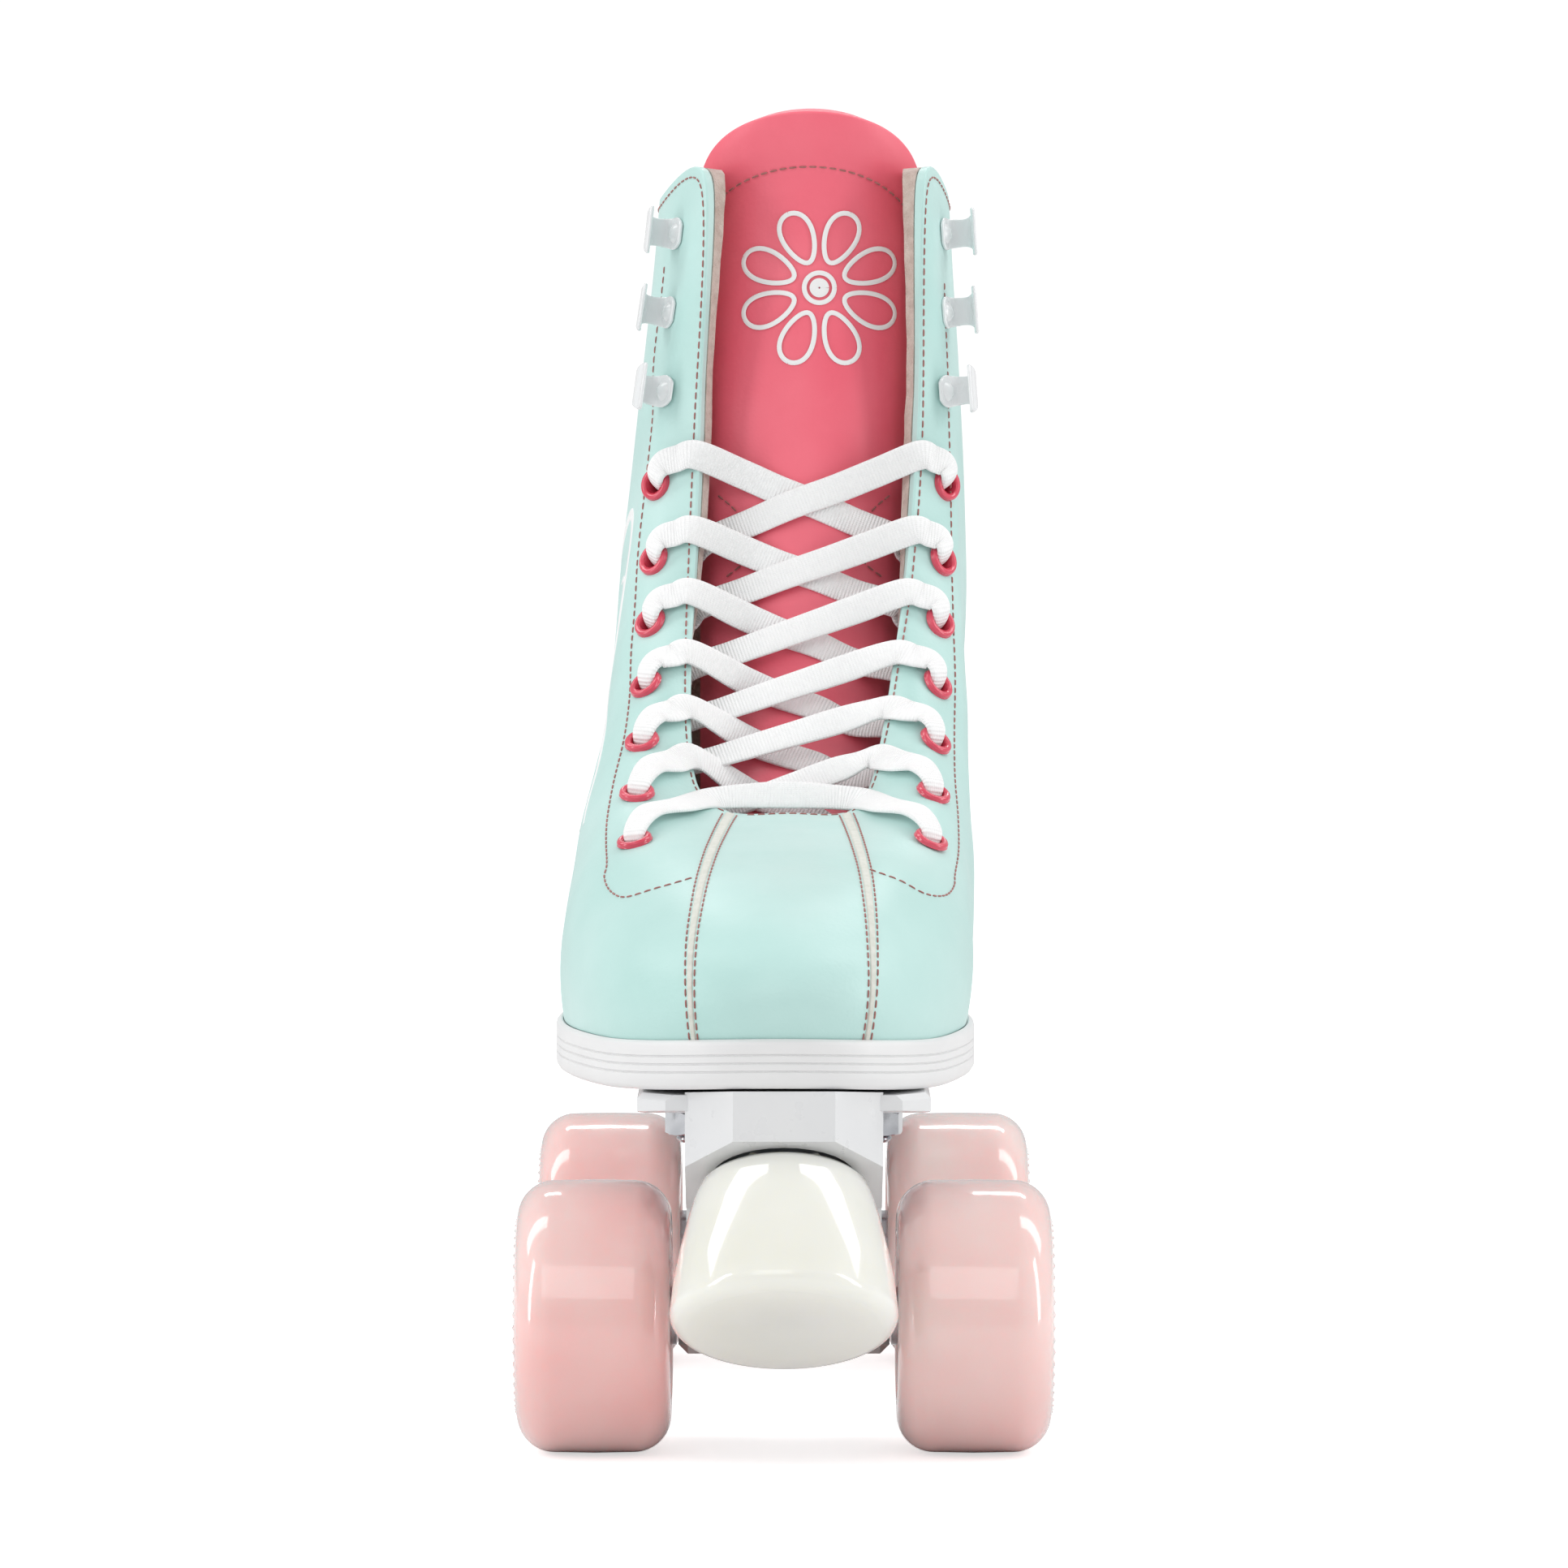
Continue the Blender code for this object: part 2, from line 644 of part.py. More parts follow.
def make_eyelets(side, spots):
    """A strip under the facing with its seven eyelets, which stand through the quarter."""
    rows = side_rows(side, abs(spots[0][0]) - 0.3, abs(spots[-1][0]) + 0.16)
    strip = shell("eyelet_row_" + side, rows, lambda row: whole_height(row)[STRIP_FROM:STRIP_TO],
                  STIFFENER_DEPTH, STIFFENER, "eyelet_coral")
    cut(strip, hole_cutter("eyelet_holes_" + side, spots, 0.5 * (EYELET_HOLE + EYELET_BARREL), 8))
    foot = -(STIFFENER_DEPTH + 0.5 * STIFFENER)
    low, high = LAYER_GAP + 0.1 * MM, LAYER_GAP + EYELET_RIM
    profile = [
        (EYELET_HOLE, foot), (EYELET_BARREL, foot), (EYELET_BARREL, low), (EYELET_FLANGE, low),
        (EYELET_FLANGE, high), (EYELET_HOLE, high),
    ]
    for number, spot in enumerate(spots):
        ring = turned(f"eyelet_{side}_{number}", profile, segments=10, location=surface(*spot),
                      axis=outward(*spot))
        join(strip, ring)


def make_hook(side, number, spot):
    """A lace hook: a base on the leather, a rivet through it, and a wide lip at the outer end."""
    normal = outward(*spot)
    centre = surface(*spot)
    name = f"lace_hook_{side}_{number}"
    where = {"location": centre, "axis": normal}
    inner = -(LEATHER + LAYER_GAP + STIFFENER)
    hook = place(name, rod_mesh(HOOK_STEM_RADIUS, inner, HOOK_REACH, 12), "hook_white", **where)
    base_mesh = rod_mesh(HOOK_BASE_RADIUS, LAYER_GAP, LAYER_GAP + 1.2 * MM, 12)
    base = place(name + "_base", base_mesh, **where)
    rivet_mesh = rod_mesh(HOOK_BASE_RADIUS - 0.4 * MM, inner, inner + STIFFENER, 12)
    rivet = place(name + "_rivet", rivet_mesh, **where)
    width, length, thick = HOOK_LIP
    top = HOOK_REACH
    low = (-0.5 * width, -0.5 * length, top - INTO)
    high = (0.5 * width, 0.5 * length, top - INTO + thick)
    lip = place(name + "_lip", box_mesh(low, high), **where)
    join(hook, base, rivet, lip)


def tongue_point(z, x):
    """The front of the tongue where it has this height, for a given x."""
    profile = [np.array(point) * MM for point in TONGUE_PROFILE]
    last = len(profile) - 1
    low, high = 0.0, float(last)
    for _ in range(30):
        middle = 0.5 * (low + high)
        if smooth_values(profile, middle)[1] < z:
            low = middle
        else:
            high = middle
    y, z = smooth_values(profile, low)
    ahead = smooth_values(profile, min(low + 0.2, last)) - smooth_values(profile, max(low - 0.2, 0))
    normal = np.array([0, -ahead[1], ahead[0]]) / np.linalg.norm(ahead)
    return np.array([x, y, z]), normal


def edge_at(side, z):
    """Row of the facing's edge at a height."""
    sign = 1 if side == "lateral" else -1
    low, high = 1.0, 7.0
    for _ in range(30):
        middle = 0.5 * (low + high)
        if surface(sign * middle, 1)[2] < z:
            low = middle
        else:
            high = middle
    return sign * low


def lace_route(spots):
    """The lace from one end inside the boot, down the lacing, along the bottom bar, and up again."""
    above = LAYER_GAP + EYELET_RIM + LACE_RADIUS + 3 * GAP
    under = INSIDE_DEPTH + LAYER_GAP + LACE_RADIUS + 2 * GAP
    over_leather = LACE_RADIUS + LAYER_GAP + GAP

    def strand(first):
        """From the middle of the bottom bar into this side's first eyelet, and up to the last one."""
        other = "lateral" if first == "medial" else "medial"
        points = []
        sides = [first if k % 2 == 0 else other for k in range(7)]
        for k, side in enumerate(sides):
            row, v = spots[side][k]
            top = layer(row, v, -above)
            edge_row = edge_at(side, top[2] + LACE_ARRIVES)
            edge = layer(edge_row, 1, -over_leather)
            beyond = edge - layer(edge_row, 0.98, -over_leather)
            halfway = layer(0.5 * (edge_row + row), 0.5 * (1 + v), -above)
            if k > 0:
                points.append(edge + beyond * 1.2 * MM / np.linalg.norm(beyond))
            points += [halfway, top, layer(row, v, under)]
            if k == 6:
                break
            following = sides[k + 1]
            next_row, next_v = spots[following][k + 1]
            leave = layer(edge_at(side, surface(row, v)[2] + LACE_LEAVES), 1, under + GAP)
            arrive_row = edge_at(following, surface(next_row, next_v)[2] + LACE_ARRIVES)
            arrive = layer(arrive_row, 1, -over_leather)
            middle = 0.5 * (leave + arrive)
            on_tongue, normal = tongue_point(middle[2], middle[0])
            lift = LAYER_GAP + GAP + LACE_RADIUS + (2 * LACE_RADIUS + 2 * GAP if following == "medial" else GAP)
            need = (middle - on_tongue) @ normal
            points += [leave, middle + normal * max(0, lift - need)]
        end = points[-1]
        inward = np.array([0.004, 0.012, 0]) if sides[-1] == "lateral" else np.array([-0.004, 0.012, 0])
        for across, down in LACE_TAIL:
            points.append(end + inward * (across * 0.1 + 0.4) + np.array([0, 0, down * MM]))
        return points

    lateral, medial = strand("lateral"), strand("medial")
    bar = 0.5 * (lateral[0] + medial[0])
    top = layer(0, 1, -(LACE_RADIUS + 2 * GAP))
    bar = np.array([bar[0], top[1] - 0.001, top[2] + 0.0022])
    return lateral[::-1] + [bar] + medial


def make_lace(spots):
    curve = bpy.data.curves.new("lace", "CURVE")
    curve.dimensions = "3D"
    curve.bevel_depth = LACE_RADIUS
    curve.bevel_resolution = 2
    curve.use_fill_caps = True
    route = lace_route(spots)
    spline = curve.splines.new("POLY")
    spline.points.add(len(route) - 1)
    for point, position in zip(spline.points, route):
        point.co = (*position, 1)
    return place("lace", curve, "lace_white")


# ---- plate --------------------------------------------------------------------------------------


def bolt_places():
    return {
        f"plate_bolt_{end}_{side}": (sign * BOLT_X, axle + inboard)
        for end, axle, inboard in (("front", 0, BOLT_IN), ("rear", WHEELBASE, -BOLT_IN))
        for side, sign in (("lateral", -1), ("medial", 1))
    }


def flange_outline():
    half, waist = 0.5 * FLANGE_WIDTH, 0.5 * WAIST_WIDTH
    back = WHEELBASE + PLATE_BACK_OVERHANG
    corner = 6 * MM
    right = [
        (half - corner, PLATE_FRONT),
        (half, PLATE_FRONT + corner),
        (half, 22 * MM),
        (waist, 44 * MM),
        (waist, WHEELBASE - 44 * MM),
        (half, WHEELBASE - 22 * MM),
        (half, back - corner),
        (half - corner, back),
    ]
    return right + [(-x, y) for x, y in reversed(right)]


def steer_direction():
    return Vector((0, math.cos(STEER_TILT), math.sin(STEER_TILT)))


def kingpin_direction():
    return Vector((0, -math.sin(STEER_TILT), math.cos(STEER_TILT)))


def make_housing(truck, name, side_outline):
    """A block over the pivot: an outline seen from the side, with chamfered corners seen from above."""
    block = flat_outline(name, side_outline, HOUSING_WIDTH)
    block.parent = truck
    block.location = (0, -RING_OUT, -RING_Z)
    block.rotation_euler = (math.pi / 2, 0, math.pi / 2)
    half = 0.5 * HOUSING_WIDTH
    outs = [point[0] for point in side_outline]
    near, far = min(outs) - INTO, max(outs)
    plan = [
        (-half - INTO, near), (half + INTO, near), (half + INTO, far - 1.2 * HOUSING_CHAMFER),
        (half - HOUSING_CHAMFER, far + 0.01 * MM), (-half + HOUSING_CHAMFER, far + 0.01 * MM),
        (-half - INTO, far - 1.2 * HOUSING_CHAMFER),
    ]
    from_above = flat_outline(name + "_plan", plan, 0.2)
    from_above.parent = truck
    from_above.location = (0, -RING_OUT, 0)
    combine(block, from_above, "INTERSECT")
    return block


def stop_along(distance):
    return STOP_FACE + STOP_AXIS * distance


def make_plate(trucks, bolts):
    plate = flat_outline("plate", flange_outline(), FLANGE, "plate_white")
    plate.location = (0, 0, PLATE_TOP - 0.5 * FLANGE)
    bevel(plate, 1.2 * MM, angle=60)
    low = PLATE_TOP - FLANGE
    under_nose = [(TAPER_FROM, low), (TAPER_TO, low + TAPER), (TAPER_TO, low - FLANGE), (TAPER_FROM, low - FLANGE)]
    taper = flat_outline("taper", under_nose, FLANGE_WIDTH + FLANGE)
    taper.rotation_euler = (math.pi / 2, 0, math.pi / 2)
    cut(plate, taper)
    high = PLATE_TOP - 0.5 * FLANGE
    lip = stop_along(STOP_HEIGHT + 3 * GAP)
    across = Vector((0, -STOP_AXIS.z, STOP_AXIS.y))
    front_edge = lip + across * NOSE_AHEAD
    back_edge = lip - across * NOSE_BEHIND
    pivot_side = [
        (26 * MM, 55 * MM), (25 * MM, 45 * MM), (16 * MM, 42.5 * MM), (10.5 * MM, 61.5 * MM),
        (10.5 * MM, high),
    ]
    front_side = [(40 * MM, PLATE_TOP - GAP), (50 * MM, PLATE_TOP + 0.6 * MM)]
    front_side += [(-front_edge.y, PLATE_TOP + 1.7 * MM)]
    front_side += [(-edge.y, edge.z) for edge in (front_edge, back_edge)]
    rear_side = [(26 * MM, high)]
    front = make_housing(trucks["front"], "front_housing", front_side + pivot_side)
    rear = make_housing(trucks["rear"], "rear_housing", rear_side + pivot_side)
    spine = place(
        "spine",
        box_mesh((-0.5 * SPINE_WIDTH, 30 * MM, SPINE_BOTTOM), (0.5 * SPINE_WIDTH, WHEELBASE - 30 * MM, high)),
    )
    join(plate, spine, front, rear)
    seat = RING_HALF + UPPER_CUSHION + 2 * GAP
    for end, truck in trucks.items():
        boss = place(
            end + "_boss", rod_mesh(BOSS_RADIUS, seat, seat + 23 * MM, 20), parent=truck,
            axis=kingpin_direction(),
        )
        join(plate, boss)
    for end, truck in trucks.items():
        hole = rod_mesh(KINGPIN_RADIUS + GAP, seat - INTO, seat + KINGPIN_IN_PLATE + INTO, 20)
        cut(plate, place(end + "_kingpin_hole", hole, parent=truck, axis=kingpin_direction()))
        pocket = rod_mesh(
            PIVOT_RADIUS + CUP_WALL + 2 * GAP, PIVOT_REACH - 16 * MM, PIVOT_REACH + CUP_WALL + 2 * GAP, 20
        )
        cut(plate, place(end + "_cup_pocket", pocket, parent=truck, axis=steer_direction()))
    for name, (x, y) in bolts.items():
        hole = rod_mesh(BOLT_RADIUS + GAP, PLATE_TOP - 2 * FLANGE, PLATE_TOP + FLANGE, 16)
        cut(plate, place(name + "_plate_hole", hole, location=(x, y, 0)))
    stem_hole = rod_mesh(STOP_STEM_RADIUS + GAP, STOP_HEIGHT, STOP_STEM_END + 20 * MM, 24)
    cut(plate, place("stem_hole", stem_hole, location=STOP_FACE, axis=STOP_AXIS))
    nut_seat = STOP_HEIGHT + GAP + STOP_NUT_HEIGHT + GAP
    nut_pocket = rod_mesh(STOP_POCKET_RADIUS, STOP_HEIGHT, nut_seat, 32)
    cut(plate, place("nut_pocket", nut_pocket, location=STOP_FACE, axis=STOP_AXIS))


def make_bolt(name, x, y):
    """Head in the boot, shank through sole and plate, washer and nut below the plate's flange."""
    under = PLATE_TOP - FLANGE
    tail = under - BOLT_TAIL
    head_under = sole_height(y)
    where = {"location": (x, y, 0)}
    shank = rod_mesh(BOLT_RADIUS, tail, head_under + INTO, 12)
    bolt = place(name, shank, "zinc_steel", **where)
    head = rod_mesh(BOLT_HEAD_RADIUS, head_under, head_under + BOLT_HEAD, 16)
    washer = rod_mesh(BOLT_WASHER_RADIUS, under - GAP - 1.2 * MM, under - GAP, 20)
    nut = rod_mesh(hexagon_radius(BOLT_NUT_FLATS), tail + 1.5 * MM, under - GAP - 1.1 * MM, 6)
    join(
        bolt,
        place(name + "_head", head, **where),
        place(name + "_washer", washer, **where),
        place(name + "_nut", nut, **where),
    )


def arc(centre, radius, start, stop, count):
    """Points (radius, height) on an arc, for a turned profile."""
    angles = np.radians(np.linspace(start, stop, count))
    return [(centre[0] + radius * math.cos(a), centre[1] + radius * math.sin(a)) for a in angles]


def make_toe_stop():
    where = {"location": STOP_FACE, "axis": STOP_AXIS}
    hole = STOP_STEM_RADIUS + GAP
    low = STOP_STEM_START - GAP
    profile = [(0, 0)] + arc((STOP_RADIUS - STOP_RIM, STOP_RIM), STOP_RIM, -90, 0, 6)
    profile += [(STOP_TOP_RADIUS, STOP_HEIGHT - 2 * MM), (STOP_TOP_RADIUS - 2 * MM, STOP_HEIGHT)]
    profile += [(hole, STOP_HEIGHT), (hole, low), (0, low)]
    turned("toe_stop", profile, "stop_rubber", segments=24, closed=False, **where)
    stem = rod_mesh(STOP_STEM_RADIUS, STOP_STEM_START, STOP_STEM_END, 24)
    place("toe_stop_stem", stem, "zinc_steel", **where)
    bottom = STOP_HEIGHT + GAP
    nut = place(
        "toe_stop_nut", rod_mesh(hexagon_radius(STOP_NUT_FLATS), bottom, bottom + STOP_NUT_HEIGHT, 6),
        "zinc_steel", **where,
    )
    bore = rod_mesh(STOP_STEM_RADIUS + GAP, bottom - INTO, bottom + STOP_NUT_HEIGHT + INTO, 24)
    cut(nut, place("toe_stop_nut_bore", bore, **where))


# ---- trucks and wheels --------------------------------------------------------------------------


def in_truck(out, z):
    """A place given by its distance out of the axle and its height, from the truck's empty."""
    return Vector((0, out - RING_OUT, z - RING_Z))


def make_hanger(end, truck):
    tilt = kingpin_direction()
    ring = rod_mesh(RING_RADIUS, -RING_HALF, RING_HALF, 28)
    hanger = place(end + "_hanger", ring, "truck_aluminium", parent=truck, axis=tilt)
    axle_z = 0.5 * WHEEL_DIAMETER
    half_depth, half_height = 0.5 * BEAM_DEPTH, 0.5 * BEAM_HEIGHT
    low = in_truck(-half_depth, axle_z - half_height)
    high = in_truck(half_depth, axle_z + half_height)
    beam = place(
        end + "_beam",
        box_mesh((-0.5 * HANGER_WIDTH, low.y, low.z), (0.5 * HANGER_WIDTH, high.y, high.z)),
        parent=truck,
    )
    bevel(beam, 2 * MM)
    web_outline = [
        (-14, 47.6), (-12.4, 42.5), (-6, 24), (6, 24), (8.5, 40), (9, 47), (7.5, 54), (2, 55.5), (-9, 51),
    ]
    web = flat_outline(end + "_web", [(out * MM, z * MM) for out, z in web_outline], WEB_WIDTH)
    web.parent = truck
    web.location = (0, -RING_OUT, -RING_Z)
    web.rotation_euler = (math.pi / 2, 0, math.pi / 2)
    pin = place(
        end + "_pivot", rod_mesh(PIVOT_RADIUS, PIVOT_REACH - 19 * MM, PIVOT_REACH, 20), parent=truck,
        axis=steer_direction(),
    )
    join(hanger, beam, web, pin)
    hole = place(end + "_ring_hole", rod_mesh(RING_HOLE, -RING_RADIUS, RING_RADIUS, 24), parent=truck,
                 axis=tilt)
    bore = place(
        end + "_axle_bore", rod_mesh(0.5 * BEARING_BORE + 0.1 * MM, -HANGER_WIDTH, HANGER_WIDTH, 20),
        parent=truck, location=in_truck(0, axle_z), axis=(1, 0, 0),
    )
    cut(hanger, hole, bore)


def make_truck(end, truck):
    make_hanger(end, truck)
    tilt = kingpin_direction()
    upright = {"parent": truck, "axis": tilt}
    hole = KINGPIN_RADIUS + GAP
    waist = CUSHION_RADIUS - 1 * MM
    low, high = RING_HALF + GAP, RING_HALF + GAP + UPPER_CUSHION
    upper = [
        (hole, low), (CUSHION_RADIUS, low), (CUSHION_RADIUS, low + 2 * MM), (waist, 0.5 * (low + high)),
        (CUSHION_RADIUS, high - 2 * MM), (CUSHION_RADIUS, high), (hole, high),
    ]
    turned(end + "_upper_cushion", upper, "cushion_urethane", segments=24, **upright)
    low, high = -RING_HALF - GAP - LOWER_CUSHION, -RING_HALF - GAP
    narrow = CUSHION_RADIUS - 2 * MM
    lower = [(hole, low), (narrow, low), (CUSHION_RADIUS, high - 2 * MM), (CUSHION_RADIUS, high), (hole, high)]
    turned(end + "_lower_cushion", lower, "cushion_urethane", segments=24, **upright)
    washer_top = low - GAP
    washer_low = washer_top - WASHER_THICKNESS
    washer = [
        (hole, washer_low), (narrow + MM, washer_low), (narrow + MM, washer_top), (hole, washer_top),
    ]
    turned(end + "_cushion_washer", washer, "zinc_steel", segments=24, **upright)
    head_top = washer_low - GAP
    seat = RING_HALF + UPPER_CUSHION + 2 * GAP
    shank = rod_mesh(KINGPIN_RADIUS, head_top - INTO, seat + KINGPIN_IN_PLATE, 20)
    kingpin = place(end + "_kingpin", shank, "zinc_steel", **upright)
    head = rod_mesh(hexagon_radius(KINGPIN_HEAD_FLATS), head_top - KINGPIN_HEAD_HEIGHT, head_top, 6)
    join(kingpin, place(end + "_kingpin_head", head, **upright))
    inner = PIVOT_RADIUS + GAP
    cup = [
        (0, PIVOT_REACH + CUP_WALL), (inner + CUP_WALL - GAP, PIVOT_REACH + CUP_WALL),
        (inner + CUP_WALL - GAP, PIVOT_REACH - 5.5 * MM), (inner, PIVOT_REACH - 5.5 * MM),
        (inner, PIVOT_REACH + GAP), (0, PIVOT_REACH + GAP),
    ]
    turned(end + "_pivot_cup", cup, "cup_rubber", segments=20, closed=False, parent=truck,
           axis=steer_direction())
    make_axle(end, truck)


def make_axle(end, truck):
    """The axle with the spacer collars that keep each wheel off the hanger."""
    radius = 0.5 * BEARING_BORE - 0.1 * MM
    collar = radius + 2.4 * MM
    collar_start = 0.5 * HANGER_WIDTH + GAP
    collar_end = 0.5 * (TRACK - HUB_WIDTH) - GAP
    tip = 0.5 * (TRACK + HUB_WIDTH) + 2 * GAP + AXLE_NUT_HEIGHT
    half = [(collar_start, radius), (collar_start, collar), (collar_end, collar), (collar_end, radius),
            (tip - 0.5 * MM, radius), (tip, radius - 0.5 * MM)]
    profile = [(0, -tip)] + [(r, -x) for x, r in reversed(half)] + [(r, x) for x, r in half] + [(0, tip)]
    where = {"parent": truck, "location": in_truck(0, 0.5 * WHEEL_DIAMETER), "axis": (1, 0, 0)}
    turned(end + "_axle", profile, "zinc_steel", segments=16, closed=False, **where)


def make_wheel(end, side, truck, sign):
    """A wheel and its nut. Local Z points out of the skate."""
    name = f"{end}_{side}"
    centre = in_truck(0, 0.5 * WHEEL_DIAMETER) + Vector((sign * 0.5 * TRACK, 0, 0))
    where = {"parent": truck, "location": centre, "axis": (sign, 0, 0)}
    radius, half = 0.5 * WHEEL_DIAMETER, 0.5 * WHEEL_WIDTH
    hub_half = 0.5 * HUB_WIDTH
    bore = HUB_RADIUS + GAP
    tyre = [(bore, -hub_half - 4 * MM), (bore + 2 * MM, -half)]
    tyre += arc((radius - SHOULDER, -half + SHOULDER), SHOULDER, -90, 0, 5)
    tyre += arc((radius - SHOULDER, half - SHOULDER), SHOULDER, 0, 90, 5)
    tyre += [(bore + 2 * MM, half), (bore, hub_half + 4 * MM)]
    turned(name + "_tyre", tyre, "wheel_pink", segments=24, **where)
    seat = 0.5 * BEARING_OD + GAP
    seat_depth = hub_half - BEARING_WIDTH - GAP
    through = seat - 3 * MM
    hub = [
        (HUB_RADIUS, hub_half), (HUB_RADIUS, -hub_half), (seat, -hub_half), (seat, -seat_depth),
        (through, -seat_depth), (through, seat_depth), (seat, seat_depth), (seat, hub_half),
    ]
    turned(name + "_hub", hub[::-1], "hub_white", segments=20, **where)
    inner = 0.5 * BEARING_BORE + 0.25 * MM
    outer = 0.5 * BEARING_OD
    for place_name, direction in (("outer", 1), ("inner", -1)):
        near, far = seat_depth + GAP, seat_depth + GAP + BEARING_WIDTH - GAP
        bearing = [(inner, near), (outer, near), (outer, far), (inner, far)]
        if direction < 0:
            bearing = [(r, -h) for r, h in reversed(bearing)]
        turned(f"{name}_{place_name}_bearing", bearing, "bearing_steel", segments=16, **where)
    low = hub_half + GAP
    nut = rod_mesh(hexagon_radius(AXLE_NUT_FLATS), low, low + AXLE_NUT_HEIGHT, 6)
    nut = place(name + "_axle_nut", nut, "zinc_steel", **where)
    threads = rod_mesh(0.5 * BEARING_BORE + 0.2 * MM, low - INTO, low + AXLE_NUT_HEIGHT + INTO, 20)
    cut(nut, place(name + "_nut_bore", threads, **where))


def main():
    spots = {side: [locate(side, x, z) for x, z in EYELETS[side]] for side in EYELETS}
    hook_spots = {side: [locate(side, x, z) for x, z in HOOKS[side]] for side in HOOKS}
    bolts = bolt_places()
    make_upper(spots, hook_spots)
    make_sole(bolts)
    make_tongue()
    for side in ("lateral", "medial"):
        make_eyelets(side, spots[side])
        for number, spot in enumerate(hook_spots[side], start=1):
            make_hook(side, number, spot)
    make_lace(spots)
    trucks = {
        "front": empty("front_truck", (0, -RING_OUT, RING_Z), SKATE, turn=math.pi),
        "rear": empty("rear_truck", (0, WHEELBASE + RING_OUT, RING_Z), SKATE),
    }
    make_plate(trucks, bolts)
    for name, (x, y) in bolts.items():
        make_bolt(name, x, y)
    make_toe_stop()
    for end, truck in trucks.items():
        make_truck(end, truck)
        for side, sign in (("lateral", -1), ("medial", 1)):
            # The front truck is turned half round, so its own X points the other way.
            make_wheel(end, side, truck, -sign if end == "front" else sign)


main()
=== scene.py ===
"""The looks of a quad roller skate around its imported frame. Metres, +Z up, the toe toward -Y."""

import json
import math

import bmesh
import bpy
import numpy as np
from mathutils import Matrix, Vector


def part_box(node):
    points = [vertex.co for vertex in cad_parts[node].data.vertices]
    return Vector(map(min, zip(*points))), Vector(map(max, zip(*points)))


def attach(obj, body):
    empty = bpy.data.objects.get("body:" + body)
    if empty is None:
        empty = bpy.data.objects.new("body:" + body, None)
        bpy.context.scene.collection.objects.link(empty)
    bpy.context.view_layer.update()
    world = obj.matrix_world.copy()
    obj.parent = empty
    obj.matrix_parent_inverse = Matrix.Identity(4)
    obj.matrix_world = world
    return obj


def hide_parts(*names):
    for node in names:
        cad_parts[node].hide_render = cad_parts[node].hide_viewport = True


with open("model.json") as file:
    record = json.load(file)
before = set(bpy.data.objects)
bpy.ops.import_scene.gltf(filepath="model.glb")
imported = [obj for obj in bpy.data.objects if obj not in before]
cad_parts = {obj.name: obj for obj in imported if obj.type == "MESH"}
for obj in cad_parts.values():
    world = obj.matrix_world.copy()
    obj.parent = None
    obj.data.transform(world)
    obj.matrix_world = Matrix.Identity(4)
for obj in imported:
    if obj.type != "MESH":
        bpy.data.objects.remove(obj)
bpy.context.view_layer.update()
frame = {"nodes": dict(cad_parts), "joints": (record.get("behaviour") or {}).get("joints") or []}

MM = 0.001
SIDES = {"lateral": -1, "medial": 1}
ENDS = ("front", "rear")
JOINTS = {joint["name"]: joint for joint in frame["joints"]}
AXLE = {end: Vector(JOINTS[f"{end}_lateral_wheel_spin"]["pos_m"]) * Vector((0, 1, 1)) for end in ENDS}
FRONT_Y = AXLE["front"].y
WHEEL_X = abs(JOINTS["front_lateral_wheel_spin"]["pos_m"][0])


def unit(vectors):
    return vectors / np.linalg.norm(vectors, axis=-1, keepdims=True)


def smoothstep(value, low, high):
    """Eases from 0 at low to 1 at high."""
    f = np.clip((value - low) / (high - low), 0, 1)
    return f * f * (3 - 2 * f)


def smooth(values, at):
    """Catmull-Rom curve through the rows of values, at an array of positions 0, 1, 2 ..."""
    values = np.asarray(values, float)
    padded = np.vstack([2 * values[:1] - values[1:2], values, 2 * values[-1:] - values[-2:-1]])
    at = np.asarray(at, float)
    i = np.clip(np.floor(at).astype(int), 0, len(values) - 2)
    f = (at - i)[:, None]
    p0, p1, p2, p3 = (padded[i + k] for k in range(4))
    return 0.5 * (
        2 * p1 + (p2 - p0) * f + (2 * p0 - 5 * p1 + 4 * p2 - p3) * f**2 + (3 * p1 - p0 - 3 * p2 + p3) * f**3
    )


def dense(controls, count):
    """count points along the smooth curve through the control rows."""
    return smooth(controls, np.linspace(0, len(controls) - 1, count))


# ---- camera, light and floor --------------------------------------------------------------------

CAMERA_AHEAD = 1518 * MM  # of the front axle
CAMERA_HEIGHT = 216 * MM
CAMERA_DOWN = math.radians(2.76)
LENS, SENSOR = 163.8, 36


def make_camera():
    data = bpy.data.cameras.new("camera")
    data.lens, data.sensor_width = LENS, SENSOR
    data.clip_start, data.clip_end = 0.05, 50
    camera = bpy.data.objects.new("camera", data)
    camera.location = (0, FRONT_Y - CAMERA_AHEAD, CAMERA_HEIGHT)
    camera.rotation_euler = (math.radians(90) - CAMERA_DOWN, 0, 0)
    bpy.context.scene.collection.objects.link(camera)
    bpy.context.scene.camera = camera


def area_light(name, location, target, size, power):
    """A rectangular light that faces its target."""
    data = bpy.data.lights.new(name, "AREA")
    data.shape, data.size, data.size_y, data.energy = "RECTANGLE", size[0], size[1], power
    light = bpy.data.objects.new(name, data)
    light.location = location
    aim = Vector(target) - Vector(location)
    light.rotation_mode = "QUATERNION"
    light.rotation_quaternion = aim.to_track_quat("-Z", "Y")
    bpy.context.scene.collection.objects.link(light)


AMBIENT, BACKGROUND = 0.6, 1.05


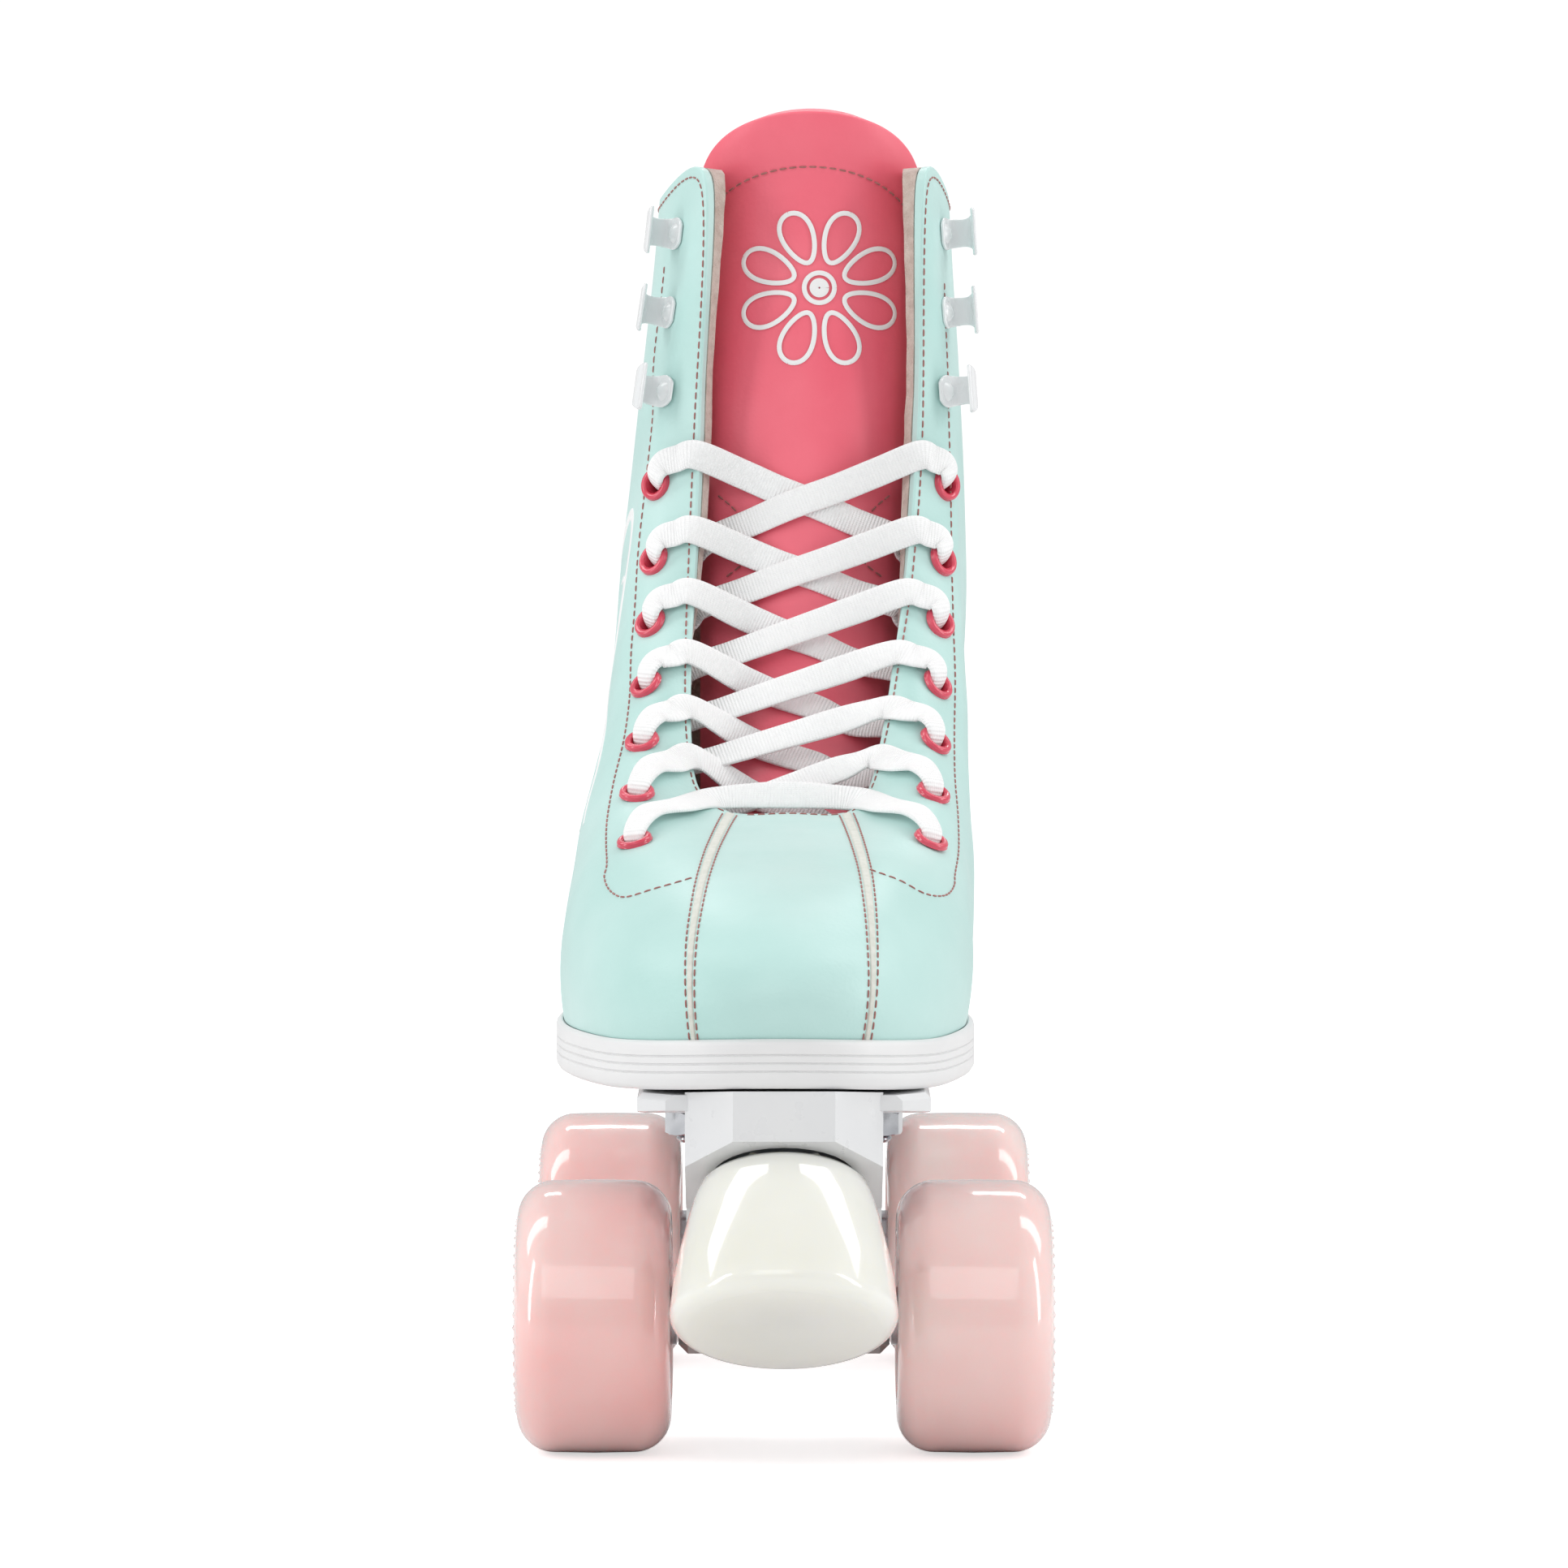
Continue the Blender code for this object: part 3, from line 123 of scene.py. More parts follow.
def make_studio():
    """White surroundings, six soft lights and a white floor."""
    scene = bpy.context.scene
    world = bpy.data.worlds.new("studio")
    world.use_nodes = True
    background = world.node_tree.nodes["Background"]
    background.inputs["Color"].default_value = (1, 1, 1, 1)
    nodes, links = world.node_tree.nodes, world.node_tree.links
    path = nodes.new("ShaderNodeLightPath")
    strength = nodes.new("ShaderNodeMapRange")
    strength.inputs["To Min"].default_value = AMBIENT
    strength.inputs["To Max"].default_value = BACKGROUND
    links.new(path.outputs["Is Camera Ray"], strength.inputs["Value"])
    links.new(strength.outputs["Result"], background.inputs["Strength"])
    scene.world = world
    scene.view_settings.view_transform = "Standard"
    aim = (0, 0, 0.15)
    area_light("side_left", (-1.4, -0.55, 0.55), aim, (0.25, 1.1), 5)
    area_light("side_right", (1.4, -0.5, 0.55), aim, (0.25, 1.1), 5)
    area_light("top_left", (-1.0, 0.2, 1.4), aim, (0.4, 1.5), 7)
    area_light("top_right", (1.0, 0.2, 1.4), aim, (0.4, 1.5), 7)
    area_light("front_soft", (-0.6, -2.6, 1.9), aim, (2.2, 1.6), 12)
    area_light("back_strip", (0.05, 1.0, 1.15), aim, (0.9, 0.12), 2.6)
    size = 8
    floor_mesh = bpy.data.meshes.new("floor")
    corners = [(-size, -size, 0), (size, -size, 0), (size, size, 0), (-size, size, 0)]
    floor_mesh.from_pydata(corners, [], [(0, 1, 2, 3)])
    floor = bpy.data.objects.new("floor", floor_mesh)
    floor.location.z = -0.0002
    floor_mesh.materials.append(plain_floor())
    scene.collection.objects.link(floor)


FLOOR_GLOW = 0.6  # a lit white studio floor: only contact shadows show on it


def plain_floor():
    material = bpy.data.materials.new("floor")
    material.use_nodes = True
    shader = material.node_tree.nodes["Principled BSDF"]
    shader.inputs["Base Color"].default_value = (0.82, 0.82, 0.82, 1)
    shader.inputs["Roughness"].default_value = 0.6
    shader.inputs["Specular IOR Level"].default_value = 0.1
    shader.inputs["Emission Color"].default_value = (1, 1, 1, 1)
    nodes, links = material.node_tree.nodes, material.node_tree.links
    glow = nodes.new("ShaderNodeMath")
    glow.operation = "MULTIPLY"
    glow.inputs[1].default_value = FLOOR_GLOW
    links.new(nodes.new("ShaderNodeLightPath").outputs["Is Camera Ray"], glow.inputs[0])
    links.new(glow.outputs["Value"], shader.inputs["Emission Strength"])
    return material


# ---- materials ----------------------------------------------------------------------------------


class Look:
    """A material with its Principled shader, and short ways to add procedural detail."""

    def __init__(self, name, colour, roughness, metallic=0.0, **sockets):
        self.material = bpy.data.materials.new(name)
        self.material.use_nodes = True
        self.tree = self.material.node_tree
        self.shader = self.tree.nodes["Principled BSDF"]
        self.colour = colour
        self.set("Base Color", (*colour, 1))
        self.set("Roughness", roughness)
        self.set("Metallic", metallic)
        for socket, value in sockets.items():
            self.set(socket.replace("_", " "), value)
        self.height = None

    def set(self, socket, value):
        self.shader.inputs[socket].default_value = value

    def add(self, kind, **values):
        node = self.tree.nodes.new(kind)
        for key, value in values.items():
            if key in node.inputs:
                node.inputs[key].default_value = value
            else:
                setattr(node, key, value)
        return node

    def link(self, output, socket):
        self.tree.links.new(output, socket)

    def place(self, stretch=(1, 1, 1), uv=False):
        source = self.add("ShaderNodeUVMap" if uv else "ShaderNodeNewGeometry")
        mapping = self.add("ShaderNodeMapping")
        mapping.inputs["Scale"].default_value = stretch
        self.link(source.outputs["UV" if uv else "Position"], mapping.inputs["Vector"])
        return mapping.outputs["Vector"]

    def noise(self, scale, detail=3, roughness=0.5, stretch=(1, 1, 1), uv=False):
        node = self.add("ShaderNodeTexNoise", Scale=scale, Detail=detail, Roughness=roughness)
        self.link(self.place(stretch, uv), node.inputs["Vector"])
        return node.outputs["Fac"]

    def cells(self, scale, feature="F1", stretch=(1, 1, 1)):
        node = self.add("ShaderNodeTexVoronoi", Scale=scale)
        node.feature = feature
        self.link(self.place(stretch), node.inputs["Vector"])
        return node.outputs["Distance"]

    def waves(self, scale, stretch=(1, 1, 1), uv=True, distortion=0.0, direction="X"):
        node = self.add("ShaderNodeTexWave", Scale=scale, Distortion=distortion)
        node.bands_direction = direction
        self.link(self.place(stretch, uv), node.inputs["Vector"])
        return node.outputs["Fac"]

    def ramp(self, value, low, high, at=(0.3, 0.7)):
        """value mapped from the stretch at to the stretch low to high, as numbers or colours."""
        if isinstance(low, tuple):
            node = self.add("ShaderNodeValToRGB")
            first, second = node.color_ramp.elements
            first.position, second.position = at
            first.color, second.color = (*low, 1), (*high, 1)
            self.link(value, node.inputs["Fac"])
            return node.outputs["Color"]
        node = self.add("ShaderNodeMapRange")
        for socket, number in zip(("From Min", "From Max", "To Min", "To Max"), (*at, low, high)):
            node.inputs[socket].default_value = number
        self.link(value, node.inputs["Value"])
        return node.outputs["Result"]

    def vary(self, value, low, high, at=(0.3, 0.7)):
        self.link(self.ramp(value, low, high, at), self.shader.inputs["Base Color"])
        return self

    def vary_roughness(self, value, low, high, at=(0.3, 0.7)):
        self.link(self.ramp(value, low, high, at), self.shader.inputs["Roughness"])
        return self

    def bump(self, value, distance, strength=1.0):
        node = self.add("ShaderNodeBump", Strength=strength, Distance=distance)
        self.link(value, node.inputs["Height"])
        if self.height is not None:
            self.link(self.height, node.inputs["Normal"])
        self.height = node.outputs["Normal"]
        self.link(self.height, self.shader.inputs["Normal"])
        return self


def leather(name, colour, light):
    """Smooth coated leather with a fine grain and faint unevenness."""
    look = Look(name, colour, 0.42, Coat_Weight=0.12, Coat_Roughness=0.3, Sheen_Weight=0.08)
    look.vary(look.noise(26, 4), colour, light, (0.35, 0.68))
    look.vary_roughness(look.noise(60, 4), 0.36, 0.5)
    look.bump(look.cells(1150, "SMOOTH_F1"), 0.00009, 0.35)
    look.bump(look.noise(2600, 3), 0.00005, 0.3)
    look.bump(look.noise(90, 2), 0.0004, 0.12)
    return look.material


def woven(name, colour, light, pitch):
    """Ribs across a band's length with a fine thread along it. The band's UV is in metres."""
    look = Look(name, colour, 0.85, Sheen_Weight=0.25, Sheen_Roughness=0.5)
    across = look.waves(1, (pitch, 1, 1), direction="X")
    along = look.waves(1, (1, 650, 1), direction="Y", distortion=0.4)
    look.vary(look.noise(700, 3), colour, light)
    look.bump(across, 0.00018, 0.7)
    look.bump(along, 0.00010, 0.5)
    look.bump(look.noise(3500, 2), 0.00006, 0.4)
    return look.material


def fleece(name, colour, light):
    """Fluffy knitted lining, foam cloth or board."""
    look = Look(name, colour, 0.95, Sheen_Weight=0.5, Sheen_Roughness=0.6)
    look.vary(look.noise(420, 4), colour, light)
    look.bump(look.noise(900, 5, 0.7), 0.0006, 0.9)
    look.bump(look.noise(3200, 3), 0.0002, 0.6)
    return look.material


def plastic(name, colour, light, roughness, coat=0.0, peel=0.00005):
    look = Look(name, colour, roughness, Coat_Weight=coat, Coat_Roughness=0.08)
    look.vary(look.noise(30, 3), colour, light)
    look.vary_roughness(look.noise(180, 4), roughness * 0.85, roughness * 1.25)
    look.bump(look.noise(420, 3), peel, 0.3)
    look.bump(look.noise(60, 2), peel * 4, 0.15)
    return look.material


def urethane(name, colour, light, deep, swirl=24):
    """Cast polyurethane: cloudy, so light travels in it, with a glossy skin."""
    look = Look(
        name, colour, 0.16, Subsurface_Weight=0.8, Subsurface_Scale=0.01, Coat_Weight=1.0,
        Coat_Roughness=0.03,
    )
    look.set("Subsurface Radius", deep)
    look.vary(look.noise(swirl, 3, 0.45), colour, light, (0.33, 0.66))
    look.vary_roughness(look.noise(150, 4), 0.1, 0.2)
    look.bump(look.noise(110, 3), 0.00004, 0.15)
    return look.material


def metal(name, colour, light, roughness, brushed=(1, 1, 1), pits=0.00003):
    look = Look(name, colour, roughness, 1.0)
    look.vary(look.noise(140, 4), colour, light)
    look.vary_roughness(look.noise(500, 5, 0.6, brushed), roughness * 0.7, roughness * 1.5)
    look.bump(look.noise(1500, 4, 0.6, brushed), pits, 0.35)
    return look.material


def thread_look(name, colour, light):
    look = Look(name, colour, 0.7, Sheen_Weight=0.3)
    look.vary(look.noise(1600, 2), colour, light)
    look.bump(look.waves(1, (1, 1, 1), uv=True, direction="DIAGONAL"), 0.0001, 0.6)
    return look.material


MINT, MINT_LIGHT = (0.47, 0.715, 0.675), (0.545, 0.775, 0.74)
CORAL, CORAL_LIGHT = (0.88, 0.125, 0.185), (0.93, 0.175, 0.235)
PINK, PINK_LIGHT = (0.95, 0.49, 0.47), (0.95, 0.71, 0.68)
LOOKS = {
    "boot_leather": leather("mint_leather", MINT, MINT_LIGHT),
    "tongue_leather": leather("coral_leather", CORAL, CORAL_LIGHT),
    "lining_fabric": fleece("beige_fleece", (0.50, 0.38, 0.32), (0.66, 0.55, 0.48)),
    "footbed_foam": fleece("footbed_cloth", (0.55, 0.52, 0.48), (0.66, 0.63, 0.6)),
    "stiffener_board": fleece("fibre_board", (0.45, 0.36, 0.26), (0.55, 0.45, 0.34)),
    "sole_white": plastic("sole_white", (0.77, 0.77, 0.775), (0.82, 0.82, 0.82), 0.42),
    "plate_white": plastic("plate_nylon", (0.74, 0.75, 0.765), (0.79, 0.795, 0.80), 0.3, 0.2),
    "wheel_pink": urethane("wheel_urethane", PINK, PINK_LIGHT, (1.0, 0.42, 0.38), 15),
    "hub_white": plastic("hub_core", (0.80, 0.76, 0.74), (0.86, 0.82, 0.8), 0.35, 0.1),
    "stop_rubber": urethane("stop_urethane", (0.80, 0.80, 0.73), (0.86, 0.86, 0.81), (1.0, 0.95, 0.8)),
    "truck_aluminium": metal("cast_aluminium", (0.58, 0.57, 0.56), (0.7, 0.69, 0.68), 0.42, pits=0.00012),
    "zinc_steel": metal("bright_zinc", (0.42, 0.43, 0.46), (0.6, 0.61, 0.63), 0.14),
    "bearing_steel": metal("bearing_steel", (0.6, 0.61, 0.62), (0.72, 0.73, 0.74), 0.22),
    "cushion_urethane": urethane("cushion_urethane", (0.86, 0.45, 0.44), PINK_LIGHT, (1.0, 0.4, 0.36)),
    "cup_rubber": plastic("black_rubber", (0.03, 0.03, 0.03), (0.05, 0.05, 0.05), 0.6),
    "eyelet_coral": plastic("coral_lacquer", (0.66, 0.045, 0.09), (0.74, 0.07, 0.12), 0.22, 0.6, 0.00002),
    "hook_white": plastic("white_lacquer", (0.80, 0.82, 0.83), (0.86, 0.87, 0.88), 0.22, 0.5, 0.00002),
    "lace_white": woven("lace_weave", (0.93, 0.93, 0.935), (0.96, 0.96, 0.96), 420),
    "thread": thread_look("stitching", (0.30, 0.10, 0.09), (0.42, 0.17, 0.15)),
    "seam_tape": woven("seam_tape", (0.62, 0.64, 0.57), (0.72, 0.73, 0.67), 600),
    "print_white": plastic("white_print", (0.84, 0.85, 0.85), (0.88, 0.88, 0.88), 0.5),
}


# ---- pieces -------------------------------------------------------------------------------------


def piece(name, mesh, look, body="skate", stands_for=()):
    """An object with its material, riding on a body, in place of the CAD nodes it stands for."""
    obj = bpy.data.objects.new(name, mesh)
    bpy.context.scene.collection.objects.link(obj)
    mesh.materials.append(LOOKS[look])
    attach(obj, body)
    if stands_for:
        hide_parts(*stands_for)
    return obj


def mesh_of_faces(name, points, faces, uvs=None, sharp=40):
    """A smooth-shaded closed mesh with outward normals; edges over the sharp angle stay crisp."""
    mesh = bpy.data.meshes.new(name)
    mesh.from_pydata([tuple(point) for point in points], [], faces)
    if uvs is not None:
        layer = mesh.uv_layers.new(name="UVMap")
        index = np.empty(len(mesh.loops), np.int32)
        mesh.loops.foreach_get("vertex_index", index)
        layer.data.foreach_set("uv", np.asarray(uvs, float)[index].ravel())
    bm = bmesh.new()
    bm.from_mesh(mesh)
    bmesh.ops.recalc_face_normals(bm, faces=bm.faces[:])
    for face in bm.faces:
        face.smooth = True
    for edge in bm.edges:
        if len(edge.link_faces) == 2 and edge.calc_face_angle(0) > math.radians(sharp):
            edge.smooth = False
    bm.to_mesh(mesh)
    bm.free()
    return mesh


def grid_faces(rows, columns, first=0, around=False, loop=False):
    """Quads of a grid of points. around closes its columns, loop closes its rows."""
    faces = []
    for i in range(rows if loop else rows - 1):
        here, after = first + (i % rows) * columns, first + ((i + 1) % rows) * columns
        for j in range(columns if around else columns - 1):
            k = (j + 1) % columns
            faces.append((here + j, after + j, after + k, here + k))
    return faces


def bevel(obj, width, segments=3, angle=50):
    modifier = obj.modifiers.new("Bevel", "BEVEL")
    modifier.width, modifier.segments = width, segments
    modifier.limit_method, modifier.angle_limit = "ANGLE", math.radians(angle)
    return obj


def slab_between(name, outer, inner, loop=False, sharp=50):
    """A closed sheet between two grids of points, (rows, columns, 3) each."""
    rows, columns = outer.shape[:2]
    count = rows * columns
    points = np.concatenate([outer.reshape(-1, 3), inner.reshape(-1, 3)])
    faces = grid_faces(rows, columns, loop=loop)
    faces += [face[::-1] for face in grid_faces(rows, columns, count, loop=loop)]
    edge = []
    for i in range(rows if loop else rows - 1):
        after = (i + 1) % rows
        for j in (0, columns - 1):
            edge.append((i * columns + j, after * columns + j))
    if not loop:
        for i in (0, rows - 1):
            edge += [(i * columns + j, i * columns + j + 1) for j in range(columns - 1)]
    faces += [(a, b, b + count, a + count) for a, b in edge]
    return mesh_of_faces(name, points, faces, sharp=sharp)


def turned(
    name, profile, place, look, body="skate", stands_for=(), segments=72, ripple=None, sharp=35
):
    """A closed profile of (radius, height) pairs turned about place's local Z."""
    angles = np.linspace(0, 2 * math.pi, segments, endpoint=False)
    profile = np.asarray(profile, float)
    points = []
    for angle in angles:
        radius, height = profile[:, 0], profile[:, 1].copy()
        if ripple is not None:
            height = height + ripple(radius, profile[:, 1], angle)
        points.append(np.stack([radius * math.cos(angle), radius * math.sin(angle), height], axis=1))
    faces = grid_faces(segments, len(profile), around=True, loop=True)
    mesh = mesh_of_faces(name, np.concatenate(points), faces, sharp=sharp)
    bm = bmesh.new()
    bm.from_mesh(mesh)
    bmesh.ops.remove_doubles(bm, verts=bm.verts, dist=1e-7)
    bmesh.ops.recalc_face_normals(bm, faces=bm.faces[:])
    bm.to_mesh(mesh)
    bm.free()
    mesh.transform(place)
    return piece(name, mesh, look, body, stands_for)


def frame_at(location, axis, turn=0.0):
    """The matrix that puts local Z along an axis at a place."""
    quaternion = Vector(axis).to_track_quat("Z", "Y")
    turned_about_z = quaternion.to_matrix().to_4x4() @ Matrix.Rotation(turn, 4, "Z")
    return Matrix.Translation(Vector(location)) @ turned_about_z


def rounded(points, radius, steps=4):
    """A profile with each of its corners rounded. points are (r, h), or (r, h, radius of the corner)."""
    flat = [np.array(p[:2], float) for p in points]
    result = []
    for i, here in enumerate(flat):
        before, after = flat[i - 1], flat[(i + 1) % len(flat)]
        size = points[i][2] if len(points[i]) > 2 else radius
        to_before, to_after = before - here, after - here
        reach = min(size, 0.45 * np.linalg.norm(to_before), 0.45 * np.linalg.norm(to_after))
        if reach < 1e-6 or here[0] < 1e-9:
            result.append(tuple(here))
            continue
        start = here + to_before / np.linalg.norm(to_before) * reach
        end = here + to_after / np.linalg.norm(to_after) * reach
        for f in np.linspace(0, 1, steps + 1):
            result.append(tuple((1 - f) ** 2 * start + 2 * f * (1 - f) * here + f * f * end))
    return result


def in_mm(points, radius):
    """A rounded profile that is written in millimetres."""
    return np.array(rounded(points, radius)) * MM


def sweep(centres, ups, half_widths, half_thicknesses, around=14, power=2.6):
    """A band along centres. Its width lies along ups; its section is a rounded rectangle."""
    tangents = unit(np.gradient(centres, axis=0))
    sides = unit(ups - (ups * tangents).sum(1, keepdims=True) * tangents)
    normals = np.cross(tangents, sides)
    angles = np.linspace(0, 2 * math.pi, around, endpoint=False)
    c, s = np.cos(angles), np.sin(angles)
    across = np.sign(c) * np.abs(c) ** (2 / power)
    over = np.sign(s) * np.abs(s) ** (2 / power)
    wide = np.asarray(half_widths)[:, None, None] * across[None, :, None] * sides[:, None, :]
    thick = np.asarray(half_thicknesses)[:, None, None] * over[None, :, None] * normals[:, None, :]
    points = centres[:, None, :] + wide + thick
    lengths = np.concatenate([[0], np.cumsum(np.linalg.norm(np.diff(centres, axis=0), axis=1))])
    from_middle = across[None, :] * np.asarray(half_widths)[:, None]
    uvs = np.stack(np.broadcast_arrays(lengths[:, None], from_middle), -1)
    count = len(centres)
    faces = grid_faces(count, around, around=True)
    faces += [tuple(range(around)), tuple(reversed(range((count - 1) * around, count * around)))]
    return points.reshape(-1, 3), faces, uvs.reshape(-1, 2)


def joined(name, parts, sharp=50):
    """One mesh of several (points, faces, uvs)."""
    points, faces, uvs, start = [], [], [], 0
    for part_points, part_faces, part_uvs in parts:
        points.append(part_points)
        uvs.append(part_uvs if part_uvs is not None else np.zeros((len(part_points), 2)))
        faces += [tuple(index + start for index in face) for face in part_faces]
        start += len(part_points)
    return mesh_of_faces(name, np.concatenate(points), faces, np.concatenate(uvs), sharp)


STITCH_PITCH, STITCH, THREAD_RADIUS = 2.3 * MM, 1.75 * MM, 0.21 * MM


def stitches(name, lines):
    """Dashes of thread along (points, normals) lines, one small bent capsule for each stitch."""
    parts = []
    stations = np.linspace(-1, 1, 7)
    angles = np.linspace(0, 2 * math.pi, 6, endpoint=False)
    for points, normals in lines:
        distance = np.concatenate([[0], np.cumsum(np.linalg.norm(np.diff(points, axis=0), axis=1))])
        for number in range(int(distance[-1] / STITCH_PITCH)):
            middle = (number + 0.5) * STITCH_PITCH
            along = middle + 0.5 * STITCH * stations
            centre = np.stack([np.interp(along, distance, points[:, k]) for k in range(3)], 1)
            normal = unit(np.stack([np.interp(along, distance, normals[:, k]) for k in range(3)], 1))
            centre = centre + normal * (THREAD_RADIUS * (0.45 - 0.75 * stations**4))[:, None]
            tangent = unit(np.gradient(centre, axis=0))
            side = unit(np.cross(tangent, normal))
            over = np.cross(side, tangent)
            size = THREAD_RADIUS * np.clip(1.15 - stations**6, 0.3, 1)
            ring = centre[:, None] + size[:, None, None] * (
                np.cos(angles)[None, :, None] * side[:, None]
                + np.sin(angles)[None, :, None] * over[:, None]
            )
            faces = grid_faces(len(stations), 6, around=True)
            faces += [tuple(range(6)), tuple(reversed(range(36, 42)))]
            parts.append((ring.reshape(-1, 3), faces, None))
    return piece(name, joined(name, parts, 80), "thread")


# ---- the upper's surface, as the part has it ----------------------------------------------------

SOLE_TOP, HEEL_RISE, TOE_SPRING = 91 * MM, 21 * MM, 2 * MM
RISE_FROM, RISE_TO = 55 * MM, 122 * MM
LEATHER, LINING_FROM, LINING_TO = 2.3 * MM, 3.3 * MM, 6.7 * MM
LACE_HOLE = 2.9 * MM  # radius, through the leather and the lining
GAP, LAYER_GAP = 0.3 * MM, 0.8 * MM  # as in the part, between its pieces

# a: x out, x in, y   b: x out, x in, y, z    c: x out, x in, y, z       d: x out, x in, y, z
RIBS = [
    ((-1, -1, -60), (0, 0, -70, 112), (1, 1, -38, 127.5), (1, 1, 44, 134.5)),
    ((-18.5, 17, -54), (-21, 20, -63, 112), (-18, 18, -32, 128), (-11.5, 13.5, 44.5, 134.6)),
    ((-34, 30, -37), (-39, 35, -41, 112), (-34, 31, 0, 133), (-18.5, 18.5, 51, 139.5)),
    ((-43.5, 37, -12), (-49, 43, -12, 110), (-42, 38, 26, 139), (-20.3, 21.5, 62, 151)),
    ((-47.3, 39.3, 15), (-51, 43, 18, 110), (-44, 41, 54, 146), (-20.5, 24.5, 76, 168)),
    ((-46.5, 38, 45), (-50, 45, 50, 118), (-42, 43, 84, 160), (-20, 28, 89, 190)),
    ((-41, 33.5, 75), (-47, 45, 82, 128), (-38, 43, 106, 190), (-19, 30.5, 99, 222)),
    ((-36, 31, 105), (-47, 46, 110, 138), (-34, 42, 118, 210), (-18, 32, 103, 275)),
    ((-33, 31.5, 135), (-48, 46, 138, 140), (-34, 42, 135, 205), (-28.5, 38, 132, 272)),
    ((-28, 28, 165), (-39, 40, 168, 140), (-30, 36, 158, 205), (-24, 33, 163, 270)),
    ((-14, 17, 184), (-18, 22, 191, 138), (-14, 23, 173, 205), (-9, 19, 181, 271)),
    ((2, 2, 188.5), (2.5, 2.5, 196, 138), (4, 4, 172, 205), (5, 5, 186, 272)),
]
LAST_ROW = len(RIBS) - 1
EYELETS = {
    "lateral": [(-32, 130), (-32, 139), (-31.3, 149.5), (-30.7, 161.5), (-30, 175), (-29.3, 189),
                (-29, 206)],
    "medial": [(31.5, 130), (32.5, 139), (33.4, 149.5), (34.2, 161.5), (35, 175), (35.8, 189),
               (36.8, 206)],
}
HOOKS = {
    "lateral": [(-27, 227), (-25.8, 245), (-24.3, 263)],
    "medial": [(36.6, 227), (36.6, 245), (36.4, 263)],
}


def sole_height(y):
    """Height of the boot's bottom edge: it rises to the heel, and a little at the toe."""
    toe = np.maximum(0, (-0.030 - y) / 0.030)
    return SOLE_TOP + HEEL_RISE * smoothstep(y, RISE_FROM, RISE_TO) + TOE_SPRING * toe**2


def loop_values(which):
    """Points of one loop from the inner side's heel, by the toe, to the outer side's heel and on."""
    def rib_point(row, side):
        values = RIBS[row][which]
        z = values[3] * MM if which else sole_height(values[2] * MM)
        return np.array([values[side] * MM, values[2] * MM, z])

    whole = [rib_point(row, 1) for row in range(LAST_ROW, 0, -1)]
    whole += [rib_point(row, 0) for row in range(LAST_ROW + 1)]
    return np.array([whole[-2]] + whole + [whole[1]])


LOOPS = [loop_values(which) for which in range(4)]


def upper(rows, heights):
    """Points of the outer surface. row < 0 is the inner side, > 0 the outer side; height is 0 to 1."""
    rows, heights = np.broadcast_arrays(np.asarray(rows, float), np.asarray(heights, float))
    shape = rows.shape
    at = (rows.ravel() + LAST_ROW) % (2 * LAST_ROW) + 1
    a, b, c, d = (smooth(loop, at) for loop in LOOPS)
    a[:, 2] = sole_height(a[:, 1])
    v = heights.ravel()[:, None]
    w = 1 - v
    points = w**3 * a + 3 * w * w * v * b + 3 * w * v * v * c + v**3 * d
    points[:, 1] += FRONT_Y
    return points.reshape(*shape, 3)


def upper_normal(rows, heights):
    """Outward normals of the upper's surface."""
    rows, heights = np.broadcast_arrays(np.asarray(rows, float), np.asarray(heights, float))
    low, high = np.maximum(heights - 0.02, 0), np.minimum(heights + 0.02, 1)
    along = upper(rows + 0.02, heights) - upper(rows - 0.02, heights)
    return unit(np.cross(upper(rows, high) - upper(rows, low), along))


def layer(rows, heights, depth):
    """Points at a depth under the upper's surface."""
    return upper(rows, heights) - np.asarray(depth)[..., None] * upper_normal(rows, heights)


def find(surface, start, x, z, clamp=None):
    """The two coordinates at which a surface has this x and z, in millimetres, by Newton steps."""
    here = np.array(start, float)
    for _ in range(25):
        steps = np.array([here, here + (0.003, 0), here - (0, 0.003)])
        points = np.array([surface(p[0], p[1]) for p in steps])[:, [0, 2]]
        jacobian = np.stack([(points[1] - points[0]) / 0.003, (points[0] - points[2]) / 0.003], 1)
        move = np.linalg.lstsq(jacobian, np.array([x, z]) * MM - points[0], rcond=None)[0]
        here = here + np.clip(move, -0.3, 0.3)
        if clamp:
            here[1] = min(max(here[1], clamp[0]), clamp[1])
    return here


def locate(side, x, z):
    """Row and height at which the upper has this x and z, in millimetres."""
    sign = -SIDES[side]
    rows, heights = np.meshgrid(np.linspace(1.1, 8.5, 75) * sign, np.linspace(0.3, 0.99, 60))
    points = upper(rows, heights)
    off = (points[..., 0] - x * MM) ** 2 + (points[..., 2] - z * MM) ** 2
    best = np.unravel_index(off.argmin(), off.shape)
    return find(upper, (rows[best], heights[best]), x, z, (0.02, 0.995))


SPOTS = {side: [locate(side, *spot) for spot in EYELETS[side]] for side in SIDES}
HOOK_SPOTS = {side: [locate(side, *spot) for spot in HOOKS[side]] for side in SIDES}


def below_edge(rows, distance):
    """Heights that lie a distance below the opening's edge, along the leather."""
    result = []
    heights = np.linspace(1, 0.4, 60)
    for row in np.atleast_1d(rows):
        points = upper(np.full(60, row), heights)
        along = np.concatenate([[0], np.cumsum(np.linalg.norm(np.diff(points, axis=0), axis=1))])
        result.append(np.interp(distance, along, heights))
    return np.array(result)


